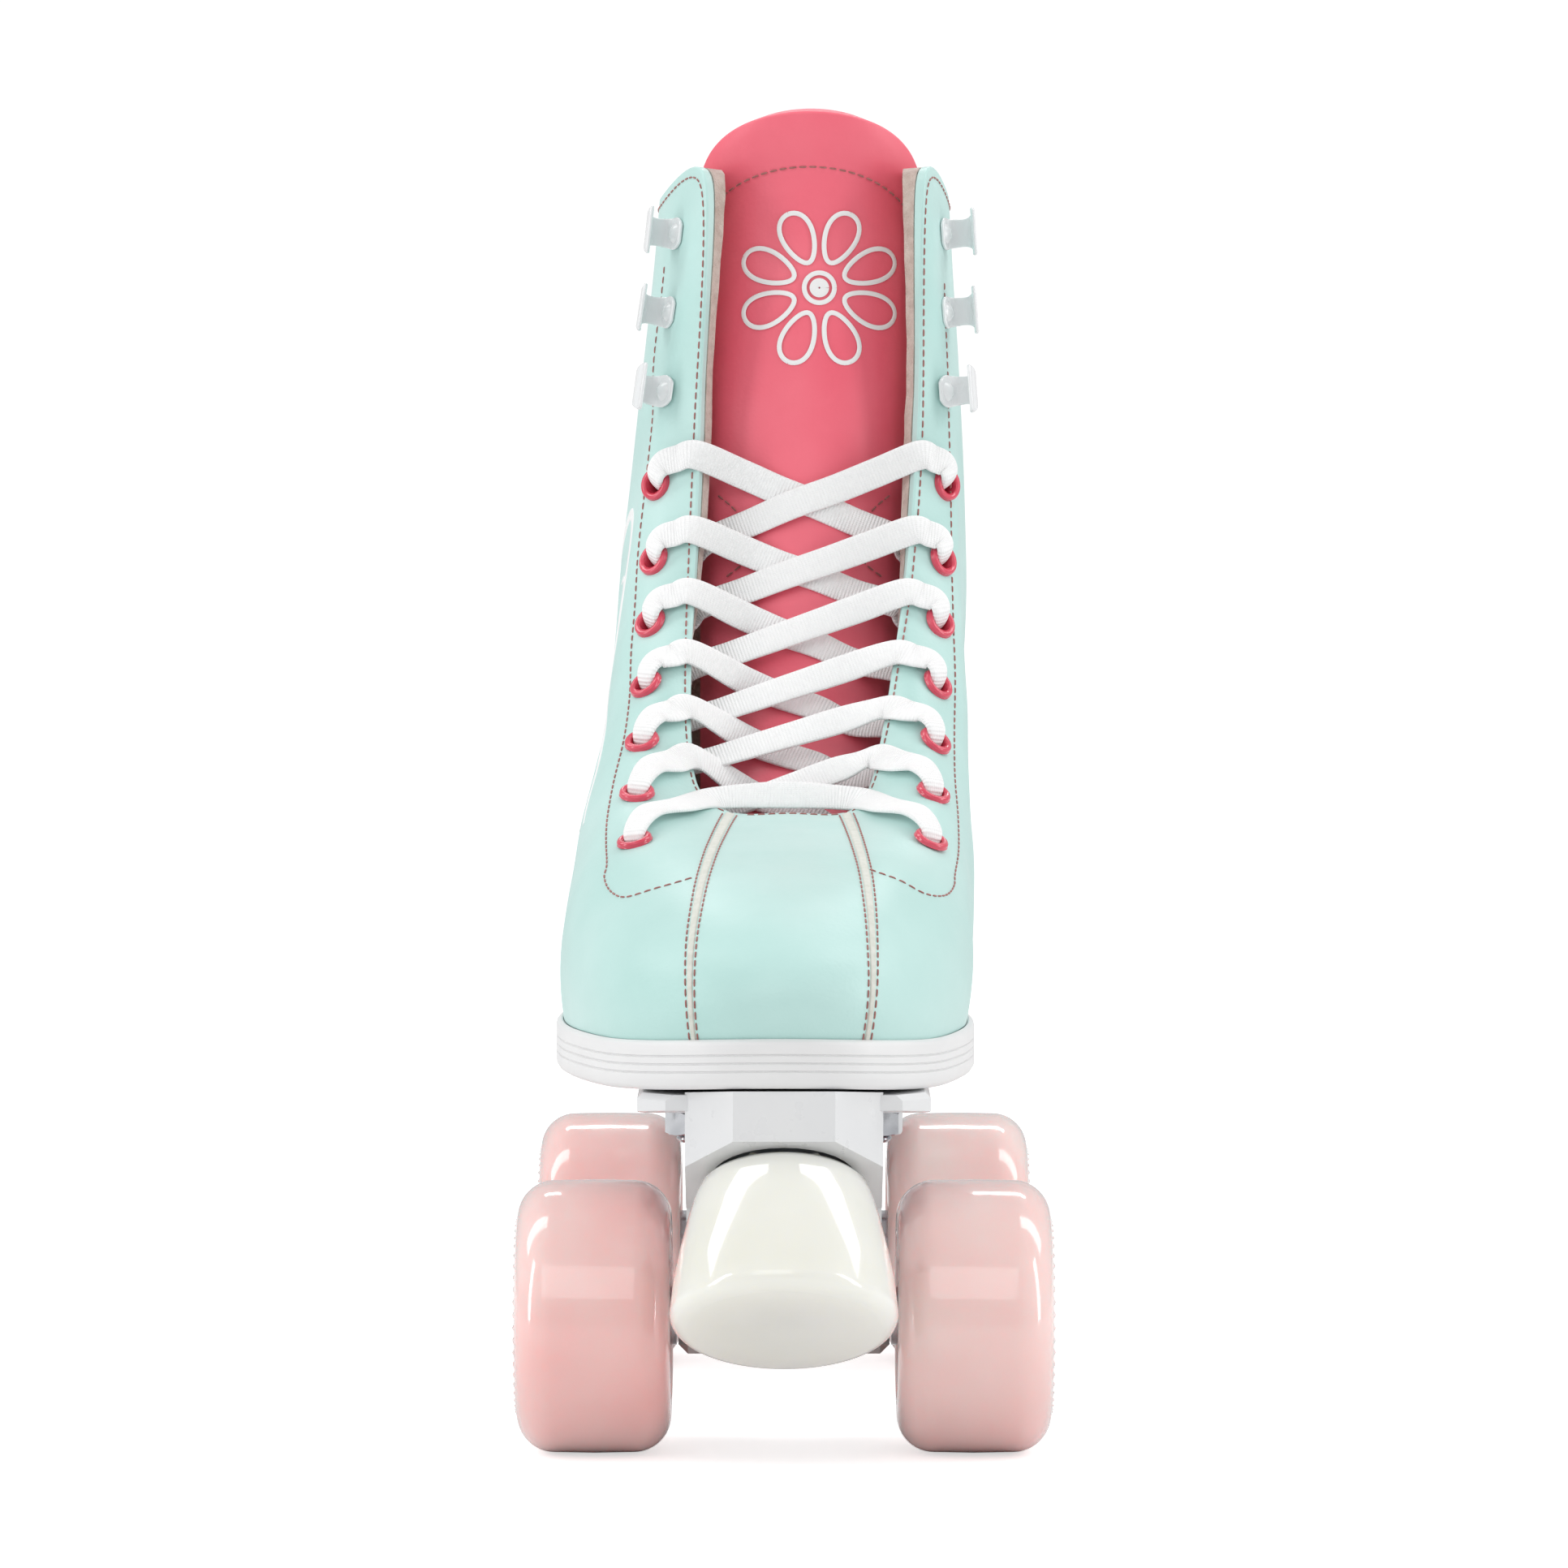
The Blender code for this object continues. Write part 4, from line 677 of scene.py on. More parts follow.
def shifted(rows, heights, distance):
    """A line on the upper moved sideways by a distance along the leather."""
    points = upper(rows, heights)
    tangent = unit(np.gradient(points, axis=0))
    side = np.cross(upper_normal(rows, heights), tangent)
    by_row = (upper(rows + 0.01, heights) - upper(rows - 0.01, heights)) / 0.02
    low, high = np.maximum(heights - 0.01, 0), np.minimum(heights + 0.01, 1)
    by_height = (upper(rows, high) - upper(rows, low)) / (high - low)[:, None]
    moves = []
    for i in range(len(points)):
        jacobian = np.stack([by_row[i], by_height[i]], axis=1)
        reach = np.broadcast_to(distance, len(points))[i]
        moves.append(np.linalg.lstsq(jacobian, side[i] * reach, rcond=None)[0])
    moves = np.array(moves)
    return rows + moves[:, 0], np.clip(heights + moves[:, 1], 0, 1)


def on_leather(rows, heights, lift=0.0):
    """A line on the leather, with its normals."""
    raised = leather_swell(upper(rows, heights), heights)
    return layer(rows, heights, -(raised + lift)), upper_normal(rows, heights)


# ---- boot ---------------------------------------------------------------------------------------


def soft_swell(points, amount, scale, seed):
    """A smooth unevenness, the same on each run: a sum of slow waves with fixed phases."""
    total = np.zeros(points.shape[:-1])
    for k in range(1, 5):
        direction = np.array(
            [math.sin(seed + 2.1 * k), math.cos(1.7 * seed + k), math.sin(0.6 * seed - 1.3 * k)]
        )
        total += np.sin(points @ direction * scale * (0.7 + 0.35 * k) + seed * k) / k
    return amount * total / 2


def leather_swell(surface, heights):
    """How far the leather stands out of the shape's smooth surface: nothing at its top and bottom edges."""
    return soft_swell(surface, 0.35 * MM, 95, 1.3) * np.clip(4 * heights * (1 - heights), 0, 1)


def panel(name, rows, heights, look, nodes, from_depth, to_depth, swell=False, loop=False, edge=0.7 * MM):
    """A layer of the upper between two depths, each a function of (row, height) grids."""
    grid_rows, grid_heights = np.meshgrid(rows, heights, indexing="ij")
    normals = upper_normal(grid_rows, grid_heights)
    surface = upper(grid_rows, grid_heights)
    raised = leather_swell(surface, grid_heights) if swell else 0
    outer = surface + normals * (raised - from_depth(grid_rows, grid_heights))[..., None]
    inner = surface - normals * to_depth(grid_rows, grid_heights)[..., None]
    obj = piece(name, slab_between(name, outer, inner, loop=loop), look, stands_for=nodes)
    return bevel(obj, edge)


def evenly(depth):
    return lambda rows, heights: np.full(rows.shape, depth)


def hole_cutter(spots, radius):
    """Cylinders through the upper at the spots."""
    bm = bmesh.new()
    for row, height in spots:
        place = frame_at(upper(row, height), upper_normal(row, height))
        bmesh.ops.create_cone(
            bm, cap_ends=True, segments=28, radius1=radius, radius2=radius, depth=0.024, matrix=place,
        )
    mesh = bpy.data.meshes.new("holes")
    bm.to_mesh(mesh)
    bm.free()
    return mesh


def cut_holes(obj, spots, radius):
    cutter = bpy.data.objects.new(obj.name + "_holes", hole_cutter(spots, radius))
    bpy.context.scene.collection.objects.link(cutter)
    modifier = obj.modifiers.new("Holes", "BOOLEAN")
    modifier.operation, modifier.object = "DIFFERENCE", cutter
    bpy.context.view_layer.update()
    graph = bpy.context.evaluated_depsgraph_get()
    mesh = bpy.data.meshes.new_from_object(obj.evaluated_get(graph))
    obj.modifiers.clear()
    obj.data = mesh
    bpy.data.objects.remove(cutter)


def make_upper():
    """Toe panel, quarters, fleece lining and the tape down the heel."""
    heights = np.linspace(0, 1, 66)
    seam = 0.012
    panel("vamp_centre", np.linspace(seam - 1, 1 - seam, 40), heights, "boot_leather", ["toe_panel"],
          evenly(0), evenly(LEATHER), True)
    for side, out in SIDES.items():
        front, back = np.linspace(1 + seam, 3, 40), np.linspace(3.06, LAST_ROW - 0.01, 110)
        rows = np.sort(-out * np.concatenate([front, back]))
        node = "quarter_" + side
        obj = panel(node + "_leather", rows, heights, "boot_leather", [node], evenly(0), evenly(LEATHER),
                    True)
        cut_holes(obj, SPOTS[side], LACE_HOLE)
    edge = (0.88, 0.95)
    heights = np.concatenate([np.linspace(0, 0.85, 40), np.linspace(0.86, 1, 22)])
    rows = np.linspace(-LAST_ROW, LAST_ROW, 2 * 110 + 1)[:-1]

    def fleece_from(rows, heights):
        ripple = 0.12 * MM * np.sin(rows * 61) * np.sin(rows * 23.7 + 1)
        rise = smoothstep(heights, *edge)
        return LINING_FROM + (LEATHER + 0.1 * MM - LINING_FROM) * rise + ripple * rise

    def fleece_to(rows, heights):
        puff = 0.9 * MM * smoothstep(np.abs(rows), 6.6, 7.6) * smoothstep(heights, 0.7, 0.85)
        ripple = 0.22 * MM * np.sin(rows * 47 + 2) * np.sin(rows * 17.3) * smoothstep(heights, 0.9, 1)
        thin = 1.7 * MM * smoothstep(heights, 0.86, 0.97) * (1 - smoothstep(np.abs(rows), 6.9, 7.6))
        return LINING_TO + puff + ripple - thin

    lining = panel("fleece_lining", rows, heights, "lining_fabric", ["lining"], fleece_from, fleece_to,
                   loop=True, edge=1.1 * MM)
    cut_holes(lining, SPOTS["lateral"] + SPOTS["medial"], LACE_HOLE)
    back = np.linspace(0, 1, 80)
    band_on_leather("heel_tape", np.full(80, float(LAST_ROW)), back, 5.5 * MM, 0.55 * MM, "boot_leather")
    for offset in (-4.2, 4.2):
        SEAMS.append(on_leather(*shifted(np.full(80, float(LAST_ROW)), back, offset * MM), 0.55 * MM))


SEAMS = []  # lines of stitching, as (points, normals)


def band_on_leather(name, rows, heights, half_width, thick, look, across=9):
    """A thin band that lies on the leather along a line, with rounded edges."""
    half_width = np.broadcast_to(half_width, len(rows))
    spread = np.linspace(-1, 1, across)
    top = []
    for f in spread:
        lift = thick * (1 - abs(f) ** 6) - 0.12 * MM * (abs(f) == 1)
        line = shifted(rows, heights, f * half_width)
        top.append(layer(*line, -(leather_swell(upper(*line), line[1]) + lift)))
    outer = np.stack(top, axis=1)
    normals = upper_normal(rows, heights)[:, None]
    inner = outer - normals * (0.25 * MM + thick * (1 - np.abs(spread) ** 6)[None, :, None])
    return piece(name, slab_between(name, outer, inner, sharp=70), look)


def make_seams():
    """The two seams of the toe with their tapes, the facing's edges, and the line around the eyelets."""
    heights = np.linspace(0.0, 0.985, 90)
    for side, out in SIDES.items():
        rows = np.full(len(heights), -float(out))
        half = (0.62 + 0.5 * heights) * MM
        band_on_leather("seam_tape_" + side, rows, heights, half, 0.3 * MM, "seam_tape")
        for offset in (-1, 1):
            SEAMS.append(on_leather(*shifted(rows, heights, offset * (half + 0.42 * MM))))
        edge_rows = -out * np.linspace(1.12, LAST_ROW - 0.35, 260)
        SEAMS.append(on_leather(edge_rows, below_edge(edge_rows, 2.6 * MM)))
        SEAMS.append(on_leather(*eyestay_line(side)))
    throat = np.linspace(-0.86, 0.86, 40)
    SEAMS.append(on_leather(throat, below_edge(throat, 2.4 * MM)))
    stitches("stitching_upper", SEAMS)


EYESTAY_SIDE = {
    "lateral": [(-27.3, 256), (-30.0, 228), (-32.2, 198), (-34.0, 172), (-35.4, 150)],
    "medial": [(36.4, 252), (37.3, 226), (37.9, 198), (38.1, 172), (38.0, 150)],
}
EYESTAY_CORNER = {
    "lateral": [(-38.1, 127.5), (-38.1, 122.7), (-36.4, 120.3), (-33.0, 119.8), (-26.2, 122),
                (-18.5, 124.2)],
    "medial": [(37.3, 125), (36.4, 121.2), (33.8, 119.5), (29.4, 120.3), (23.6, 123.3), (17.2, 125.5)],
}


def eyestay_line(side):
    """Outside the eyelets from the top of the shaft, round the lower corner, and in to the toe seam."""
    line = [tuple(locate(side, *spot)) for spot in EYESTAY_SIDE[side]]
    line += [tuple(locate(side, *corner)) for corner in EYESTAY_CORNER[side]]
    curve = dense(np.array(line), 220)
    return curve[:, 0], curve[:, 1]


PRINT_THICK = 0.14 * MM


def make_ribbon():
    """A plain white wavy line along the outer side, in place of the lettering."""
    rows = np.linspace(4.35, 9.3, 150)
    f = np.linspace(0, 1, 150)
    heights = 0.50 + 0.10 * f + 0.055 * np.sin(f * 4.2 * math.pi) * (1 - 0.3 * f)
    width = (0.5 + 2.3 * np.sin(math.pi * f) ** 0.8 * (0.75 + 0.25 * np.cos(f * 8.4 * math.pi))) * MM
    band_on_leather("side_wave", rows, heights, width, PRINT_THICK, "print_white")
    rows = np.linspace(4.9, 7.4, 90)
    f = np.linspace(0, 1, 90)
    heights = 0.395 + 0.10 * f + 0.04 * np.sin(f * 2.6 * math.pi + 0.6)
    width = (0.4 + 1.5 * np.sin(math.pi * f) ** 0.8) * MM
    band_on_leather("side_wave_low", rows, heights, width, PRINT_THICK, "print_white")


# ---- tongue -------------------------------------------------------------------------------------

TONGUE_PROFILE = np.array([
    (26, 118.5), (42, 123.5), (55, 131), (67, 142.5), (79.5, 158), (90.5, 177), (98, 198), (103, 222),
    (106.8, 246), (109.7, 268), (105.7, 290.5),
]) * MM
TONGUE_X = (1 * MM, 6 * MM)
TONGUE_HALF_WIDTH = np.array([[20.5], [25], [28.4]]) * MM
TONGUE_BEND = 33 * MM
TONGUE_TOP_DROP = 0.075
TONGUE_THICK = 5 * MM


def tongue(along, across):
    """A point of the tongue's front. along is 0 at the toe to 1 at the top, across is -1 to 1."""
    along, across = np.broadcast_arrays(np.asarray(along, float), np.asarray(across, float))
    f, s = along.ravel(), across.ravel()
    corner = 1 - np.sqrt(np.maximum(1 - 0.96 * s * s, 0))
    last = len(TONGUE_PROFILE) - 1
    profile = smooth(TONGUE_PROFILE, last * f * (1 - TONGUE_TOP_DROP * corner))
    half = smooth(TONGUE_HALF_WIDTH, 2 * f)[:, 0]
    angle = s * half / TONGUE_BEND
    back = TONGUE_BEND * (1 - np.cos(angle))
    steep = smoothstep(f, 0.0, 0.6)
    x = TONGUE_X[0] + (TONGUE_X[1] - TONGUE_X[0]) * f + TONGUE_BEND * np.sin(angle)
    y = profile[:, 0] + back * (0.35 + 0.65 * steep) + FRONT_Y
    z = profile[:, 1] - back * (1 - steep) * 0.8
    return np.stack([x, y, z], axis=1).reshape(*along.shape, 3)


def tongue_normal(along, across):
    step = 0.004
    by_along = tongue(np.minimum(along + step, 1), across) - tongue(np.maximum(along - step, 0), across)
    by_across = tongue(along, np.minimum(across + step, 1)) - tongue(along, np.maximum(across - step, -1))
    return unit(np.cross(by_across, by_along))


def tongue_lift(along, across):
    """How far the padding stands out: sewn down along the edge and along the arc near the top."""
    arc = TONGUE_SEAM - 0.012 * across**2
    below = smoothstep(arc - along, 0.0, 0.035) * smoothstep(along, 0.25, 0.5)
    above = 0.55 * smoothstep(along - arc, 0.0, 0.02) * smoothstep(1 - along, 0.0, 0.012)
    sides = smoothstep(1 - np.abs(across), 0.0, 0.22)
    return 0.9 * MM * (below + above) * sides


TONGUE_SEAM = 0.945


def tongue_front(along, across, lift=0.0):
    raised = np.asarray(tongue_lift(along, across) + lift)
    return tongue(along, across) + tongue_normal(along, across) * raised[..., None]


def tongue_spot(x, z):
    """Along and across of the tongue's front at an x and z, in millimetres."""
    return find(tongue_front, (np.interp(z, (118, 290), (0, 1)), (x - 4) / 24), x, z, (-0.98, 0.98))


def make_tongue():
    """The padded tongue with its line of stitching and its two sewn arcs."""
    along, across = np.meshgrid(np.linspace(0, 1, 130), np.linspace(-1, 1, 61), indexing="ij")
    outer = tongue_front(along, across)
    swell = soft_swell(outer, 0.3 * MM, 110, 2.2) * (1 - across**2)
    normals = tongue_normal(along, across)
    outer = outer + normals * swell[..., None]
    inner = tongue(along, across) - normals * TONGUE_THICK
    obj = piece("padded_tongue", slab_between("padded_tongue", outer, inner), "tongue_leather",
                stands_for=["tongue"])
    bevel(obj, 1.9 * MM, 5)
    lines = []
    s = np.linspace(-0.93, 0.93, 90)
    lines.append(tongue_line(TONGUE_SEAM - 0.012 * s * s, s))
    for out in SIDES.values():
        pad = [(19.5, 203.5), (15, 199.5), (12.6, 194.5), (13.4, 188.5), (18.5, 184)]
        spots = np.array([tongue_spot(out * x + 4.5, z) for x, z in pad])
        curve = dense(spots, 40)
        lines.append(tongue_line(curve[:, 0], curve[:, 1]))
    stitches("stitching_tongue", lines)


def tongue_line(along, across):
    """A line of stitching on the tongue, clear of the padding's swell."""
    return tongue_front(along, across, 0.28 * MM), tongue_normal(along, across)


def make_motif():
    """A plain daisy in white print on the tongue, in place of the lettered badge."""
    middle_x, middle_z, petals = 8.0, 250.5, 8
    parts = []
    for k in range(petals):
        turn = 2 * math.pi * (k + 0.5) / petals
        t = np.linspace(0, 2 * math.pi, 41)
        reach = 12.2 + 6.0 * np.cos(t)
        wide = 3.5 * np.sin(t) * (1 + 0.25 * np.cos(t))
        x = middle_x + reach * math.cos(turn) - wide * math.sin(turn)
        z = middle_z + reach * math.sin(turn) + wide * math.cos(turn)
        parts.append(printed_line(x, z, 0.55 * MM))
    t = np.linspace(0, 2 * math.pi, 49)
    for radius, half in ((3.4, 0.55), (1.2, 1.0)):
        parts.append(printed_line(middle_x + radius * np.cos(t), middle_z + radius * np.sin(t), half * MM))
    piece("tongue_daisy", joined("tongue_daisy", parts), "print_white")


PRINT_LIFT = 0.38 * MM  # clear of the padding's swell


def printed_line(x, z, half_width):
    """A printed line on the tongue through points in millimetres."""
    spots = np.array([tongue_spot(*point) for point in zip(x, z)])
    centres = tongue_front(spots[:, 0], spots[:, 1], PRINT_LIFT)
    normals = tongue_normal(spots[:, 0], spots[:, 1])
    tangents = unit(np.gradient(centres, axis=0))
    ups = np.cross(normals, tangents)
    count = len(centres)
    return sweep(centres, ups, np.full(count, half_width), np.full(count, 0.1 * MM), 8, 2.2)


# ---- eyelets, hooks and lace --------------------------------------------------------------------

EYELET_HOLE, EYELET_FLANGE = 2.3 * MM, 3.95 * MM


def make_eyelets(side):
    """Rolled rings through the leather, one mesh for the side's seven."""
    parts = []
    angles = np.linspace(0, 2 * math.pi, 40, endpoint=False)
    profile = [(EYELET_HOLE, -4.2 * MM), (EYELET_HOLE, 0.9 * MM)]
    roll = np.radians(np.linspace(160, -20, 9))
    profile += [(3.1 * MM + 0.75 * MM * math.cos(a), 0.5 * MM + 0.75 * MM * math.sin(a)) for a in roll]
    profile += [(EYELET_FLANGE, 0.05 * MM), (2.8 * MM, 0.0), (2.8 * MM, -4.2 * MM)]
    profile = np.array(profile)
    for row, height in SPOTS[side]:
        place = np.array(frame_at(upper(row, height), upper_normal(row, height)))
        ring = np.stack([
            np.outer(np.cos(angles), profile[:, 0]), np.outer(np.sin(angles), profile[:, 0]),
            np.tile(profile[:, 1], (len(angles), 1)), np.ones((len(angles), len(profile))),
        ], axis=-1)
        points = (ring.reshape(-1, 4) @ place.T)[:, :3]
        parts.append((points, grid_faces(len(angles), len(profile), around=True, loop=True), None))
    mesh = joined("eyelets_" + side, parts, 60)
    piece("eyelets_" + side, mesh, "eyelet_coral", stands_for=["eyelet_row_" + side])


def bent_sheet(line, widths, thick, place):
    """A strip of sheet metal: (out, along) points of its middle line, a width at each, bent in a plane."""
    line = np.asarray(line, float)
    tangent = unit(np.gradient(line, axis=0))
    normal = np.stack([-tangent[:, 1], tangent[:, 0]], axis=1)
    columns = np.linspace(-1, 1, 9)
    sheets = []
    for side in (0.5, -0.5):
        offset = line + side * thick * normal
        wide = np.asarray(widths)[:, None] * columns[None] * 0.5
        points = np.stack([np.broadcast_to(offset[:, :1], wide.shape), wide,
                           np.broadcast_to(offset[:, 1:], wide.shape)], axis=-1)
        sheets.append(points)
    solid = np.array(place)
    return [points @ solid[:3, :3].T + solid[:3, 3] for points in sheets]


HOOK_STEPS = 46
HOOK_LINE = np.array([  # (away from the facing's edge, away from the leather), in millimetres
    (-3.6, 0.5), (0.0, 0.5), (2.2, 0.6), (3.3, 1.8), (3.4, 3.6), (3.2, 5.2), (2.2, 6.5), (0.4, 7.1),
    (-1.6, 7.3), (-3.2, 7.9),
])
HOOK_WIDTHS = np.array([6.4, 7.4, 7.0, 6.6, 6.3, 6.6, 8.0, 9.6, 10.8, 10.8])


def make_hook(side, number, spot):
    """A lace hook: a riveted foot, a neck that stands out from the leather and a lip that flares."""
    row, height = spot
    centre, normal = upper(row, height), upper_normal(row, height)
    up = unit(np.array([0, 0, 1]) - normal[2] * normal)
    inboard = np.cross(up, normal)
    inboard *= -np.sign(inboard[1])
    place = Matrix(np.column_stack([-inboard, up, normal]).tolist()).to_4x4()
    place.translation = Vector(centre)
    line = dense(HOOK_LINE * MM, HOOK_STEPS)
    widths = dense(HOOK_WIDTHS[:, None] * MM, HOOK_STEPS)[:, 0]
    widths[:4] *= (0.62, 0.82, 0.93, 0.98)
    widths[-3:] *= (0.99, 0.96, 0.86)
    outer, inner = bent_sheet(line, widths, 0.8 * MM, place)
    node = f"lace_hook_{side}_{number}"
    mesh = slab_between(node + "_sheet", outer, inner)
    obj = piece(node + "_sheet", mesh, "hook_white", stands_for=[node])
    bevel(obj, 0.28 * MM, 2)
    dome = [(0, 2.1), (1.0, 1.95), (1.8, 1.5), (2.3, 0.95), (2.3, 0.5), (1.2, 0.4), (1.2, -3.4), (0, -3.4)]
    rivet_place = place @ Matrix.Translation((-0.4 * MM, 0, 0))
    turned(node + "_rivet", np.array(dome) * MM, rivet_place, "hook_white", segments=32)


LACE_RISE = 6.4 * MM  # how far above its eyelet the lace goes over the facing's edge
LACE_BOW = 0.36  # the lower, the sooner the lace rises from its eyelet on the way to the edge
BAR_FACE = np.array([0, -1.0, 0.6])
LACE_HALF_WIDTH, LACE_HALF_THICK = 3.35 * MM, 0.6 * MM
THROUGH_HALF_WIDTH, THROUGH_HALF_THICK = 2.05 * MM, 1.1 * MM


def row_at(side, z, height=1.0):
    """Row at which the facing reaches a z, along its edge or lower down."""
    rows = np.linspace(1.0, 7.0, 200)
    return -SIDES[side] * np.interp(z, upper(-SIDES[side] * rows, height)[:, 2], rows)


def on_facing(side, spot, f, lift):
    """A point between an eyelet (f 0) and the facing's edge (f 1), going up early and across late."""
    height = spot[1] + (1 - spot[1]) * f
    row = row_at(side, upper(*spot)[2] + LACE_RISE * f**LACE_BOW, height)
    return layer(row, height, -lift), upper_normal(row, height)


def eyelet_pass(side, k, sign):
    """(point, face direction, half sizes) of the lace from over the facing's edge to inside the boot."""
    row, height = SPOTS[side][k]
    spot = row, height
    eye, normal = upper(row, height), upper_normal(row, height)
    lift = LACE_HALF_THICK + 0.5 * MM
    full = (LACE_HALF_WIDTH, LACE_HALF_THICK)
    slim = (THROUGH_HALF_WIDTH, THROUGH_HALF_THICK)
    over, over_normal = on_facing(side, spot, 1.0, lift)
    if k == 0:  # the bar under the throat lies tilted toward the toe
        over_normal = unit(over_normal + BAR_FACE)
    half_way, half_normal = on_facing(side, spot, 0.62, lift + 0.5 * MM)
    near, near_normal = on_facing(side, spot, 0.3, lift + 0.9 * MM)
    along = near - eye
    along = unit(along - (along @ normal) * normal)
    turn_over = eye + normal * 1.9 * MM + along * 1.9 * MM
    inside = eye - normal * (LINING_TO + 1.2 * MM) + along * 0.4 * MM
    leave_row = row_at(side, eye[2] + 8 * MM)
    under = LINING_TO + 1.0 * MM
    mid_row, mid_height = 0.5 * (row + leave_row), 0.5 + 0.5 * height
    return [
        (over, sign * over_normal, full),
        (half_way, sign * half_normal, (0.97 * LACE_HALF_WIDTH, LACE_HALF_THICK)),
        (near, sign * near_normal, (0.95 * LACE_HALF_WIDTH, 0.65 * MM)),
        (turn_over, sign * unit(0.9 * normal - 0.4 * along), (0.78 * LACE_HALF_WIDTH, 0.85 * MM)),
        (eye - normal * 1.5 * MM, -sign * along, slim),
        (inside, sign * unit(-0.6 * normal - 0.8 * along), slim),
        (layer(mid_row, mid_height, under + 0.8 * MM), -sign * upper_normal(mid_row, mid_height), full),
        (layer(leave_row, 0.99, under), -sign * upper_normal(leave_row, 0.99), full),
    ]


def crossing(leave, arrive, on_top, sign):
    """The lace's points on the tongue between two facings, one a bow over the other."""
    points = []
    for f in (0.2, 0.4, 0.6, 0.8):
        straight = (1 - f) * leave + f * arrive
        spot = tongue_spot(straight[0] / MM, straight[2] / MM)
        front, normal = tongue_front(*spot), tongue_normal(*spot)
        lift = LACE_HALF_THICK + 0.2 * MM
        gap = (straight - front) @ normal
        if on_top:
            height = max(gap, lift + (1.5 * MM if 0.3 < f < 0.7 else 0.5 * MM))
        else:
            height = max(min(gap, lift + 2.2 * MM * (f > 0.7)), lift)
        size = (LACE_HALF_WIDTH, LACE_HALF_THICK)
        points.append((straight + normal * (height - gap), sign * normal, size))
    return points


def lace_run(first):
    """From over the facing's edge at this side's first eyelet, criss-cross up to the last one."""
    other = "lateral" if first == "medial" else "medial"
    points, sign = [], 1
    for k in range(7):
        side = first if k % 2 == 0 else other
        passing = eyelet_pass(side, k, sign)
        if k > 0:
            points += crossing(points[-1][0], passing[0][0], side == "medial", sign)
        points += passing
        sign = -sign
    end, face, size = points.pop()
    down = end + np.array([-SIDES[side] * 3, 8, -8]) * MM
    points.append((down, face, size))
    points.append((down + np.array([-SIDES[side] * 1, 3, -16]) * MM, face, size))
    return points


def make_lace():
    """One flat woven band: a bar between the lowest eyelets, then criss-cross up to the seventh."""
    lateral, medial = lace_run("lateral"), lace_run("medial")
    low, high = lateral[0], medial[0]
    middle = 0.5 * (low[0] + high[0]) + np.array([0, -0.8, 0.9]) * MM
    facing = unit(BAR_FACE)
    route = lateral[::-1] + [(middle, facing, (LACE_HALF_WIDTH, LACE_HALF_THICK))] + medial
    count = 12 * (len(route) - 1) + 1
    centres = dense(np.array([point for point, _, _ in route]), count)
    faces = unit(dense(np.array([face for _, face, _ in route]), count))
    sizes = dense(np.array([size for _, _, size in route]), count)
    tangents = unit(np.gradient(centres, axis=0))
    ups = unit(np.cross(faces, tangents))
    band = sweep(centres, ups, sizes[:, 0], sizes[:, 1], 20, 3.2)
    piece("flat_lace", joined("flat_lace", [band], 80), "lace_white", stands_for=["lace"])


# ---- sole ---------------------------------------------------------------------------------------


def sole_slab(name, nodes, first_row, grow, top, bottom, section, look):
    """A slab under the foot. section gives its rim as (outward, share of the height) from the top down."""
    whole = first_row == 0
    rows = np.linspace(0.0 if whole else first_row, LAST_ROW, 150)

    def outline(rows):
        point = upper(rows, 0.0)
        along = upper(rows + 0.02, 0.0) - upper(rows - 0.02, 0.0)
        return point, unit(np.stack([-along[:, 1], along[:, 0], np.zeros(len(rows))], axis=1))

    loop_rows = np.concatenate([rows, -rows[::-1][1:-1 if whole else None]])
    point, side = outline(loop_rows)
    y = point[:, 1] - FRONT_Y
    high, low = top(y), bottom(y)
    rings = []
    for out, share in section:
        ring = point + side * (grow + out)
        ring[:, 2] = low + (high - low) * share
        rings.append(ring)
    rim = np.stack(rings, axis=1)
    count, tall = rim.shape[:2]
    points = rim.reshape(-1, 3)
    faces = grid_faces(count, tall, loop=True)
    half = len(rows)
    for ring_index in (0, tall - 1):
        for i in range(half - 1):
            a, b = i, i + 1
            c, d = (-(i + 1)) % count, (-i) % count
            if not whole:
                c, d = count - 1 - (i + 1), count - 1 - i
            corners = list(dict.fromkeys(index * tall + ring_index for index in (a, b, c, d)))
            if len(corners) > 2:
                faces.append(tuple(corners))
    if not whole:
        faces.append(tuple(list(range(tall)) + [(count - 1) * tall + k for k in reversed(range(tall))]))
    mesh = mesh_of_faces(name, points, faces, sharp=38)
    return piece(name, mesh, look, stands_for=nodes)


def grooved(lip, shares, depth, half):
    """A rim section with rounded corners and fine grooves at the given shares of its height."""
    section = [(-0.8 * MM, 1.0)]
    if lip > 0:
        section += [(0.05 * MM, 1.0), (0.25 * MM, 1.07), (0.6 * MM, 1.085)]
    section += [(lip - 0.45 * MM, 1.05), (lip - 0.12 * MM, 1.01), (lip, 0.95)]
    for share in shares:
        section += [(lip, share + half), (lip - depth, share + 0.35 * half)]
        section += [(lip - depth, share - 0.35 * half), (lip, share - half)]
    return section + [(lip, 0.13), (lip - 0.5 * MM, 0.045), (lip - 1.3 * MM, 0.0), (-3 * MM, 0.0)]


SOLE_THICK, SOLE_LIP = 9 * MM, 1.7 * MM
PLATE_TOP = SOLE_TOP - LAYER_GAP - SOLE_THICK - GAP


